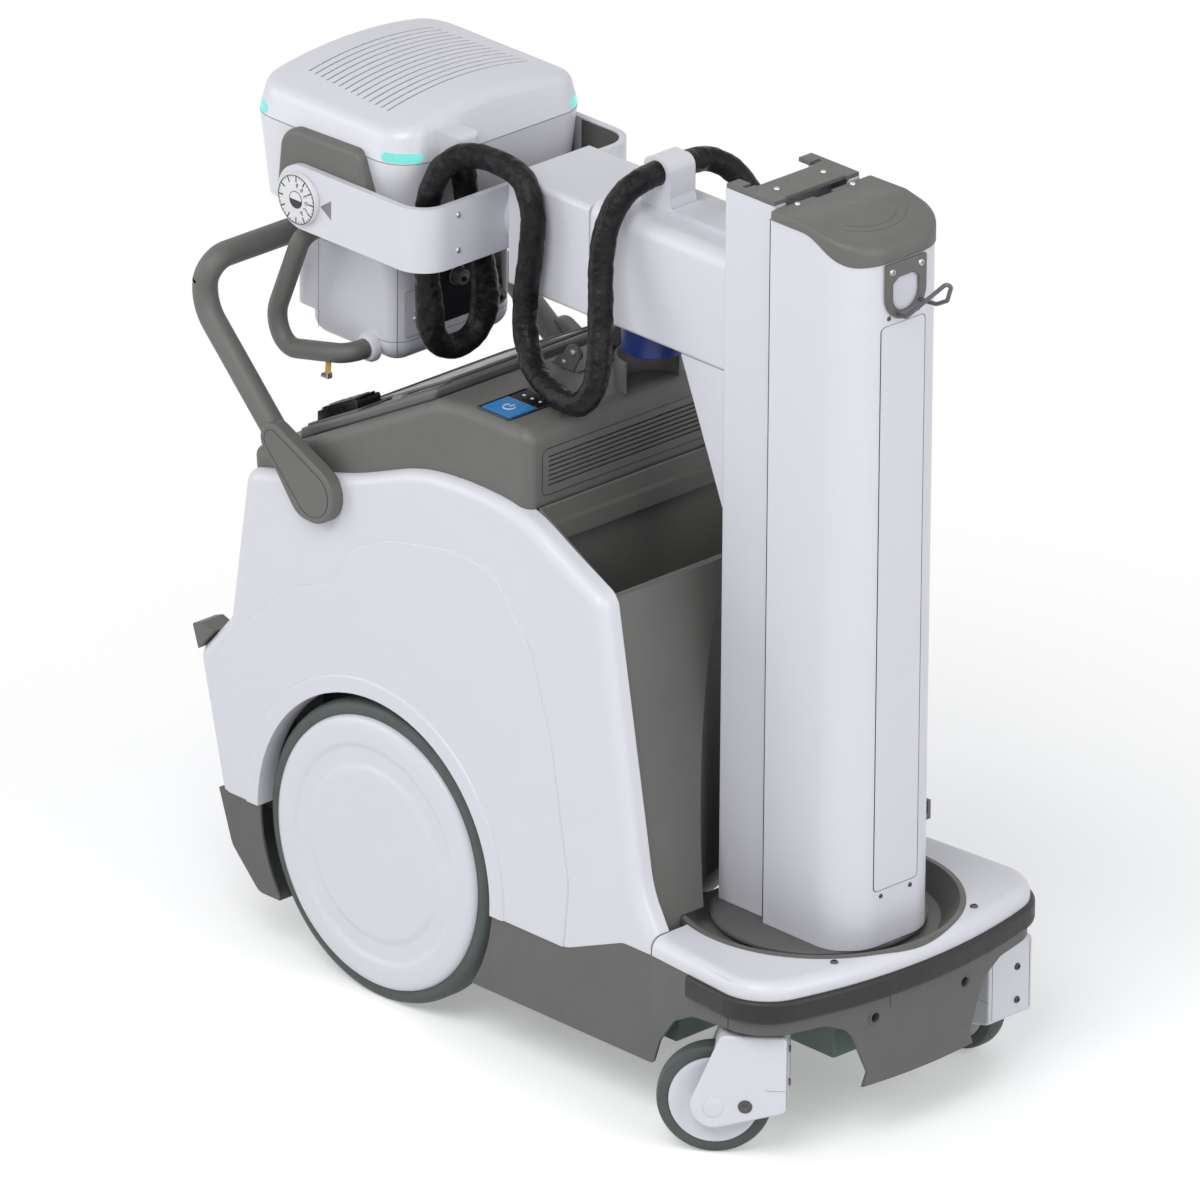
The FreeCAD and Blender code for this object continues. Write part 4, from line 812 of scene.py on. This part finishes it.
def knob_trim(k, y, z):
    """Ring, cap and grip ribs of a collimator knob."""
    ring = [(0.012, 0.0), (0.015, 0.0), (0.0145, 0.0012), (0.0125, 0.0014)]
    lathe("knob_ring_%d" % k, ring, (panel_x, y, z), (1, 0, 0), "collimator", grey_ink, 48)
    body = ("collimator_knob_lower", "collimator_knob_upper")[k]
    cap = [(0.0001, 0.0006), (0.0052, 0.0006), (0.006, 0.0), (0.0072, -0.0004)]
    lathe("knob_cap_%d" % k, cap, (-0.3376, y, z), (1, 0, 0), body, panel_black, 32)
    ribs = spokes((-0.3445, y, z), "yz", 18, 0.0111, 0.0005, 0.0055, 0.0007)
    bars("knob_grip_%d" % k, ribs, body, grey)


def control_panel_trim():
    """Knobs, the field mark made of dashes, and the lamp button."""
    body = "collimator"
    for k, (y, z) in enumerate(knobs):
        knob_trim(k, y, z)
    mark_y, mark_z, mark_half, dash_step = 0.066, 0.958, 0.0075, 0.0048
    thin, long, deep = 0.0004, 0.0015, (0.0003, 0, 0)
    dashes = []
    for sign in (-1, 1):
        for part in (-1, 0, 1):
            shift, edge = part * dash_step, sign * mark_half
            dashes.append(((panel_x, mark_y + shift, mark_z + edge), deep, (0, long, 0), (0, 0, thin)))
            dashes.append(((panel_x, mark_y + edge, mark_z + shift), deep, (0, thin, 0), (0, 0, long)))
    bars("field_mark", dashes, body, dial_white)
    oval = rectangle(-0.03, -0.012, 0.996, 1.006, 0.0045)
    plate("lamp_button", "yz", oval, panel_x - 0.0003, panel_x + 0.0018, body, dial_white, 0.0006)


def tape_tab():
    """Yellow tape end with a small hook, hanging from the handle."""
    half, thick, dip = 0.0055, 0.0008, 0.001
    section = ((-half, 0.0006), (0, 0.0006 - dip), (half, 0.0006))
    section += ((half, 0.0006 + thick), (0, 0.0006 + thick - dip), (-half, 0.0006 + thick))
    line = ((0, 0.868), (0, 0.86), (-0.0005, 0.852), (-0.0008, 0.844))
    rings = [[(tape_x + shift + dx, handle_y + dy, z) for dx, dy in section] for shift, z in line]
    loft("tape", rings, "collimator", tab_yellow)
    hook = [(-0.455, 0.84), (-0.4405, 0.84), (-0.4405, 0.848), (-0.442, 0.848)]
    hook += [(-0.442, 0.8418), (-0.4535, 0.8418), (-0.4535, 0.845), (-0.455, 0.845)]
    plate("tape_hook", "xz", hook, handle_y - 0.0045, handle_y + 0.0045, "collimator", zinc, 0.0004)


collimator_trim()
control_panel_trim()
tape_tab()


# Console
slope_foot, slope_rise = (-0.452, 0.76), (0.926 - 0.76) / (0.452 - 0.14)
screen_lift = 0.0188
button_x, button_y, button_top = -0.037, -0.202, 0.937
cup_x, cup_radius, cup_wall, cup_low, cup_high = 0.038, 0.054, 0.004, 0.9345, 0.983


def remote_trim():
    """Tray, grip and keys of the hand control."""
    body = "chassis"
    tray = rectangle(-0.428, -0.32, -0.216, -0.158, 0.008)
    plate("remote_tray", "slope", tray, 0.0155, 0.0195, body, grey, 0.0008)
    grip = [(-0.412, -0.207, 0.012), (-0.332, -0.207, 0.01)]
    grip += [(-0.332, -0.169, 0.01), (-0.412, -0.169, 0.012)]
    plate("remote_grip", "slope", grip, 0.0335, 0.0375, body, panel_black, 0.0015)
    for k in range(4):
        x = -0.4 + 0.0165 * k
        key = rectangle(x, x + 0.01, -0.199, -0.177, 0.003)
        plate("remote_key_%d" % k, "slope", key, 0.0372, 0.0388, body, grey_ink, 0.0005)


def screen_trim():
    """Lit screen with its frame and the row of keys drawn at its foot."""
    body = "chassis"
    rim = rectangle(-0.418, -0.204, -0.157, 0.157, 0.01)
    outline_on("screen_frame", "slope", rim, screen_lift, 0.0026, body, grey, sides=8)
    lit = rectangle(-0.404, -0.22, -0.14, 0.14, 0.003)
    plate("screen", "slope", lit, screen_lift, 0.0193, body, screen_light)
    for k in range(5):
        y = -0.118 + 0.059 * k
        key = rectangle(-0.398, -0.376, y - 0.022, y + 0.022, 0.004)
        plate("screen_key_%d" % k, "slope", key, 0.0192, 0.0195, body, grey_ink)


def lid_trim():
    """Painted shadow round the lid's foot, where its overhang casts shade; hand control, screen, lock and
    finger slots.
    """
    body = "chassis"
    edge = rectangle(-0.435, -0.161, -0.2225, 0.2225, 0.004)
    # Painted shadow: black line round the lid's foot, in the shade of the lid's overhang
    outline_on("lid_overhang_shadow", "slope", edge, 0.0015, 0.0016, body, ink)
    remote_trim()
    screen_trim()
    knob = [(0.0001, 0.006), (0.008, 0.0058), (0.0112, 0.004), (0.012, 0.0), (0.013, -0.001)]
    spot, across = place("slope", -0.262, -0.193, 0.016), (-0.47, 0, 0.883)
    lathe("lid_lock", knob, spot, across, body, grey_ink, 48)
    for x, y, tag in ((-0.236, -0.188, "right"), (-0.25, 0.188, "left")):
        slot = rectangle(x, -0.176, y - 0.013, y + 0.013, 0.003)
        plate("lid_pull_" + tag, "slope", slot, 0.0155, 0.0172, body, panel_black, 0.0008)


def power_trim():
    """Frame, pad and lamps of the power button, and the sign on it."""
    edge = rectangle(button_x - 0.0315, button_x + 0.0315, button_y - 0.029, -0.138, 0.003)
    outline_on("button_frame", "xy", edge, 0.9353, 0.0016, "chassis", panel_black, sides=8)
    pad = rectangle(button_x - 0.0275, button_x + 0.0275, -0.1755, -0.14, 0.002)
    plate("button_pad", "xy", pad, 0.935, 0.9366, "chassis", panel_black, 0.0006)
    lamp = [(0.0001, 0.0008), (0.0022, 0.0006), (0.0026, 0.0)]
    for k in range(3):
        spot = (button_x - 0.016 + 0.016 * k, -0.158, 0.9366)
        lathe("status_lamp_%d" % k, lamp, spot, (0, 0, 1), "chassis", dial_white, 24)
    z = button_top + 0.0002
    ring = [(x, y, z) for x, y in arc(button_x, button_y, 0.0085, 130, 410, 32)]
    strand("power_ring", ring, 0.0008, "power_button", dial_white)
    bar = [(button_x, button_y + 0.002, z), (button_x, button_y + 0.0115, z)]
    strand("power_bar", bar, 0.0008, "power_button", dial_white)


def bin_trim():
    """Linings and dividers inside the detector bin."""
    body = "chassis"
    lining = [(0.0535, 0.6, 0.004), (0.197, 0.6, 0.004), (0.197, 0.738, 0.004), (0.0535, 0.8, 0.004)]
    for k, side in enumerate((-1, 1)):
        plate("bin_lining_%d" % k, "xz", lining, side * 0.2205, side * 0.2235, body, rubber, 0.0005)
    wall = [(-0.215, 0.336, 0.004), (0.215, 0.336, 0.004), (0.215, 0.56, 0.03)]
    wall += [(0.08, 0.535, 0.05), (-0.08, 0.535, 0.05), (-0.215, 0.56, 0.03)]
    for k, x in enumerate((0.098, 0.146)):
        plate("bin_divider_%d" % k, "yz", wall, x - 0.0015, x + 0.0015, body, skirt, 0.0006)


def park_cup():
    """Half-round cup that the parked boom's ring stands in."""
    lip, inner = 0.0012, cup_radius - cup_wall
    section = [(cup_radius, cup_low), (cup_radius, cup_high - 0.0018), (cup_radius - lip, cup_high)]
    section += [(inner + lip, cup_high), (inner, cup_high - 0.0018), (inner, cup_low)]
    turns = [radians(angle) for angle in range(92, 269, 4)]
    rings = [[(cup_x + r * cos(a), r * sin(a), z) for r, z in section] for a in turns]
    loft("park_cup", rings, "chassis", grey)


def latch_trim():
    """Levers of the park latch with their screws, the cup, and the posts at the console's front."""
    body = "chassis"
    lever = [(-0.098, 0.937, 0.003), (-0.066, 0.937, 0.003), (-0.052, 0.962, 0.006)]
    lever += [(-0.062, 0.98, 0.006), (-0.078, 0.972, 0.004)]
    for side, tag in both_sides:
        plate("latch_lever_" + tag, "xz", lever, side * 0.0505, side * 0.0535, body, wire, 0.0006)
        for k, (x, z, radius) in enumerate(((-0.066, 0.966, 0.0045), (-0.084, 0.947, 0.0035))):
            spot = (x, side * 0.0536, z)
            screw("latch_screw_%s_%d" % (tag, k), spot, (0, side, 0), body, zinc, radius)
    park_cup()
    post = [(0.0462, 0.7), (0.0532, 0.7), (0.0532, 0.81, 0.004), (0.0462, 0.814, 0.002)]
    for side, tag in both_sides:
        plate("console_post_" + tag, "xz", post, side * 0.2285, side * 0.2435, body, white, 0.0015)


def handle_trim(side, tag):
    """Smooth cover over the foot of the push handle, with its inset outline."""
    low, low_radius, high, high_radius = (-0.345, 0.733), 0.043, (-0.4235, 0.7885), 0.0255
    face, inset = 0.2835, 0.0095
    run = Vector(high) - Vector(low)
    lean = degrees(atan2(run.y, run.x))
    turn = degrees(acos((low_radius - high_radius) / run.length))

    def outline(shrink):
        wide = arc(*low, low_radius - shrink, lean + turn, lean - turn + 360, 32)
        return wide + arc(*high, high_radius - shrink, lean - turn, lean + turn, 16)

    plate("handle_foot_" + tag, "xz", outline(0.0), side * 0.2605, side * face, "chassis", grey, 0.004)
    line = [(x, side * (face + 0.0001), z) for x, z in outline(inset)]
    strand("foot_inset_" + tag, line, 0.0005, "chassis", ink, closed=True, sides=6)


lid_trim()
power_trim()
louvres = rectangle(-0.217, 0.217, 0.8335, 0.902, 0.01)
outline_on("louvre_frame", "yz", louvres, 0.0451, 0.0006, "chassis", ink)
bin_trim()
latch_trim()
pair(handle_trim)


# Column, mast and arm
column_rear, column_front, column_half, column_corner = 0.357, 0.519, 0.093, 0.06
column_low, column_top, nose_drop = 0.262, 1.304, 0.032
cap_rear, cap_front, cap_half, cap_corner = 0.3572, 0.5206, 0.0946, 0.0615
cap_rear_z, cap_ridge_x, cap_ridge_z, cap_fall = 1.3165, 0.427, 1.318, 0.019
strip_half, strip_low, strip_high, strip_corner = 0.041, 0.345, 1.178, 0.007


def wall_top(x):
    """Height of the column's white wall: level at the rear, lower at the front."""
    t = min(max((x - 0.418) / 0.09, 0.0), 1.0)
    return column_top - nose_drop * t * t * (3 - 2 * t)


def wall_line(inset, steps=24):
    """Line of the column's wall in plan, from the rear round the front to the rear."""
    half, corner, front = column_half - inset, column_corner - inset, column_front - inset
    corners = [(column_rear, -half), (front, -half, corner), (front, half, corner), (column_rear, half)]
    ring = rounded(corners, 16)
    run = ring[1].x - column_rear
    side = [column_rear + run * k / steps for k in range(steps)]
    there = [Vector((x, -half)) for x in side]
    return there + ring[1:-1] + [Vector((x, half)) for x in reversed(side)]


def column_shell():
    """White cover of the column, open to the mast at the rear."""
    rings = []
    for outer, inner in zip(wall_line(0.0), wall_line(0.004)):
        top = wall_top(outer.x)
        ring = [(outer.x, outer.y, column_low), (outer.x, outer.y, top)]
        rings.append(ring + [(inner.x, inner.y, top), (inner.x, inner.y, column_low)])
    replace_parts(loft("column_shell", rings, "column", painted), "column_cover")


def cap_top(x):
    """Height of the cap's top: nearly level, then sloping to the front."""
    if x < cap_ridge_x:
        return cap_rear_z + (cap_ridge_z - cap_rear_z) * (x - column_rear) / (cap_ridge_x - column_rear)
    return cap_ridge_z - cap_fall * (x - cap_ridge_x) / (cap_front - cap_ridge_x)


def cap_outline():
    """Plan of the cap with the mouth for the mast's key, in steps of 6 mm."""
    mouth, floor, floor_x = 0.019, 0.0158, 0.3645
    ring = rounded([
        (cap_rear, -cap_half, 0.003), (cap_front, -cap_half, cap_corner),
        (cap_front, cap_half, cap_corner), (cap_rear, cap_half, 0.003),
        (cap_rear, mouth), (floor_x, floor), (floor_x, -floor), (cap_rear, -mouth),
    ], 14)
    fine = []
    for k, here in enumerate(ring):
        after = ring[(k + 1) % len(ring)]
        parts = max(1, int((after - here).length / 0.006))
        fine += [here.lerp(after, m / parts) for m in range(parts)]
    return fine


def cap_shell():
    """Grey cap with a rolled front edge and a notch for the mast's key."""
    centre = Vector((0.439, 0.0))
    fine = cap_outline()
    shares = [1.0, 0.994, 0.98, 0.955, 0.92, 0.87, 0.8, 0.7, 0.56, 0.4, 0.22]
    points, faces = [], []
    for out in fine:
        reach = (out - centre).length
        ahead = max(0.0, (out - centre).normalized().x)
        roll = 0.004 + 0.016 * ahead * ahead
        points.append((out.x, out.y, wall_top(out.x) - 0.0005))
        for share in shares:
            spot = centre.lerp(out, share)
            depth = min((1 - share) * reach, roll)
            drop = roll - sqrt(max(0.0, roll ** 2 - (roll - depth) ** 2))
            points.append((spot.x, spot.y, cap_top(spot.x) - drop))
    rows, count = len(shares) + 1, len(fine)
    points += [(centre.x, centre.y, cap_top(centre.x)), (centre.x, centre.y, 1.3)]
    peak = rows * count
    for k in range(count):
        a, b = k * rows, (k + 1) % count * rows
        for m in range(rows - 1):
            faces.append((a + m, b + m, b + m + 1, a + m + 1))
        faces += [(a + rows - 1, b + rows - 1, peak), (b, a, peak + 1)]
    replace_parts(solid("cap_shell", points, faces, "column", grey, sharp=50), "column_cap")


def cap_trim():
    """Two soft arcs pressed into the cap, and its screws."""
    for k, radius in enumerate((0.046, 0.058)):
        line = [(x, 1.25 * y, cap_top(x) - 0.0002) for x, y in arc(0.43, 0, radius, -58, 58, 24)]
        strand("cap_arc_%d" % k, line, 0.0006, "column", grey, sides=6)
    spots = [(0.366, y, 1.3168) for y in (-0.052, 0.052)]
    screws("cap_screw", spots, (0, 0, 1), "column", zinc, 0.0045)


def strip_trim():
    """Long inset strip on the column's front, its screws and those of the hook plate."""
    body, face = "column", column_front
    corners = rectangle(-strip_half, strip_half, strip_low, strip_high, strip_corner)
    plate("strip_cover", "yz", corners, face - 0.0025, face + 0.0003, body, painted, 0.0004)
    g = 0.0007
    rim = rectangle(-strip_half - g, strip_half + g, strip_low - g, strip_high + g, strip_corner + g)
    outline_on("strip_outline", "yz", rim, face - 0.0004, 0.0006, body, ink)
    places = ((-0.0278, 1.1895), (0.0278, 1.1895), (-0.028, 0.336), (0.028, 0.336))
    screws("strip_screw", [(face + 0.0001, y, z) for y, z in places], (1, 0, 0), body, screw_dark, 0.0034)
    spots = [(face + 0.005, y, 1.258) for y in (-0.027, 0.027)]
    screws("hook_screw", spots, (1, 0, 0), body, zinc, 0.0052)


def column_gap_shade(side, tag):
    """Painted shade: a dark strip that fills the gap between the mast and the column, where shade falls."""
    corners = rectangle(0.3524, 0.3569, side * 0.0725, side * 0.0905)
    # Painted shade: black strip standing for the shade in the mast-column gap
    plate("gap_shade_" + tag, "xy", corners, 0.264, 1.302, "column", ink, 0.0005)


def deck_trim(side, tag):
    """Screw of the deck and the rimmed mouth of a tie-down hole."""
    screw("deck_screw_" + tag, (0.538, side * 0.134, 0.276), (0, 0, 1), "chassis", screw_dark, 0.0058)
    mouth = [(0.0072, -0.0085), (0.0078, 0.0004), (0.0105, 0.001), (0.0118, -0.0004)]
    lathe("tie_mouth_" + tag, mouth, (0.5702, side * 0.0855, 0.189), (1, 0, 0), "chassis", skirt, 48)


def front_seam(side, tag):
    """Joints between deck and side cover, and between the skirts."""
    x, corner_y, corner_z, radius, rise = 0.3132, 0.2442, 0.2585, 0.018, 0.0178
    joint = [(x, side * (corner_y + radius), z) for z in (0.252, corner_z)]
    for k in range(1, 9):
        angle = pi * k / 16
        y = corner_y + radius * cos(angle)
        joint.append((x, side * y, corner_z + rise * sin(angle)))
    joint.append((x, side * 0.2285, 0.2763))
    strand("deck_joint_" + tag, joint, 0.0007, "chassis", ink)
    joint = [(0.4739, side * 0.2722, z) for z in (0.199, 0.217)]
    strand("skirt_joint_" + tag, joint, 0.0005, "chassis", ink)


def steel_brackets():
    """Folded steel bracket below the rails between the casters, and its cross beam."""
    body, rear, front, out, wall, top = "chassis", 0.345, 0.499, 0.094, 0.004, 0.1979
    fold = [(rear, -out), (front, -out, wall), (front, out, wall), (rear, out)]
    fold += [(rear, out - wall), (front - wall, out - wall), (front - wall, wall - out), (rear, wall - out)]
    plate("tie_bracket", "xy", fold, 0.106, top, body, steel, 0.0008)
    beam = [(0.292, 0.118, 0.006), (0.336, 0.118, 0.006), (0.336, top), (0.292, top)]
    plate("cross_beam", "xz", beam, -0.232, 0.232, body, steel, 0.0008)
    for side, tag in both_sides:
        spot = (front + 0.0001, side * 0.07, 0.15)
        screw("bracket_bolt_" + tag, spot, (1, 0, 0), body, screw_dark, 0.006)


column_shell()
cap_shell()
cap_trim()
strip_trim()
pair(column_gap_shade)
pair(front_seam)
steel_brackets()
bracket_spots = [(0.318, y, 1.322) for y in (-0.044, 0.044)]
screws("bracket_screw", bracket_spots, (0, 0, 1), "mast", zinc, 0.0042)
pair(deck_trim)


# Stage
floor_half, floor_grey, floor_glow = 30.0, 0.86, 0.32
white_from, white_to = 0.7, 1.9
light_aim = (0.0, 0.0, 0.6)
lamps = (
    ("key", (1.6, -3.4, 4.6), 3.2, 150),
    ("side", (-3.6, -3.2, 2.2), 3.0, 55),
    ("front", (4.6, 0.4, 2.4), 3.0, 70),
)


def add_light(name, spot, size, power):
    """Square soft lamp turned to the machine's middle."""
    data = bpy.data.lights.new(name, "AREA")
    data.shape = "SQUARE"
    data.size = size
    data.energy = power
    data.color = (1, 1, 1)
    lamp = add_object(name, data)
    lamp.location = spot
    lamp.rotation_euler = (Vector(light_aim) - Vector(spot)).to_track_quat("-Z", "Y").to_euler()


def reckon(tree, operation, *values):
    """Math node on two values."""
    node = add_node(tree, "Math", *values)
    node.operation = operation
    return node.outputs[0]


def seen_rays(tree):
    """One for rays that show the background: camera, mirror and glass rays."""
    rays = add_node(tree, "LightPath").outputs
    total = reckon(tree, "MAXIMUM", rays["Is Camera Ray"], rays["Is Glossy Ray"])
    return reckon(tree, "MAXIMUM", total, rays["Is Transmission Ray"])


def show(tree, output, share, first, second):
    """Surface of an output: a mix of two shader nodes."""
    mix = add_node(tree, "MixShader", share, first.outputs[0], second.outputs[0])
    feed(tree, tree.nodes[output], Surface=mix.outputs[0])


def add_world():
    """Soft sky light, plain white where it is seen."""
    world = bpy.data.worlds.new("studio")
    scene.world = world
    world.use_nodes = True
    tree = world.node_tree
    soft = feed(tree, tree.nodes["Background"], Color=(0.95, 0.97, 1.0, 1), Strength=0.42)
    plain = add_node(tree, "Background", Color=(1, 1, 1, 1), Strength=1.0)
    show(tree, "World Output", seen_rays(tree), soft, plain)


def floor_material():
    """Pale floor that takes the machine's shadow and turns white away from it."""
    pale, tree, shader = shading("floor_pale")
    colour = (floor_grey, floor_grey, floor_grey, 1)
    feed(tree, shader, Base_Color=colour, Roughness=0.8, Specular_IOR_Level=0.1)
    seen = seen_rays(tree)
    glow = reckon(tree, "MULTIPLY", seen, floor_glow)
    lift = add_node(tree, "Emission", Color=(1, 1, 1, 1), Strength=glow)
    near = add_node(tree, "AddShader", shader.outputs[0], lift.outputs[0])
    reach = add_node(tree, "VectorMath", add_node(tree, "TexCoord").outputs["Object"])
    reach.operation = "LENGTH"
    fade = add_node(tree, "MapRange", Value=reach.outputs["Value"], From_Min=white_from, From_Max=white_to)
    fade.interpolation_type = "SMOOTHSTEP"
    far = add_node(tree, "Emission", Color=(1, 1, 1, 1), Strength=1.0)
    show(tree, "Material Output", reckon(tree, "MULTIPLY", fade.outputs["Result"], seen), near, far)
    return pale


def add_stage():
    """World, floor and lamps."""
    add_world()
    data = bpy.data.meshes.new("floor")
    corners = [(x * floor_half, y * floor_half, 0) for x, y in ((-1, -1), (1, -1), (1, 1), (-1, 1))]
    data.from_pydata(corners, [], [(0, 1, 2, 3)])
    floor = add_object("floor", data)
    data.materials.append(floor_material())
    for lamp in lamps:
        add_light(*lamp)


add_stage()
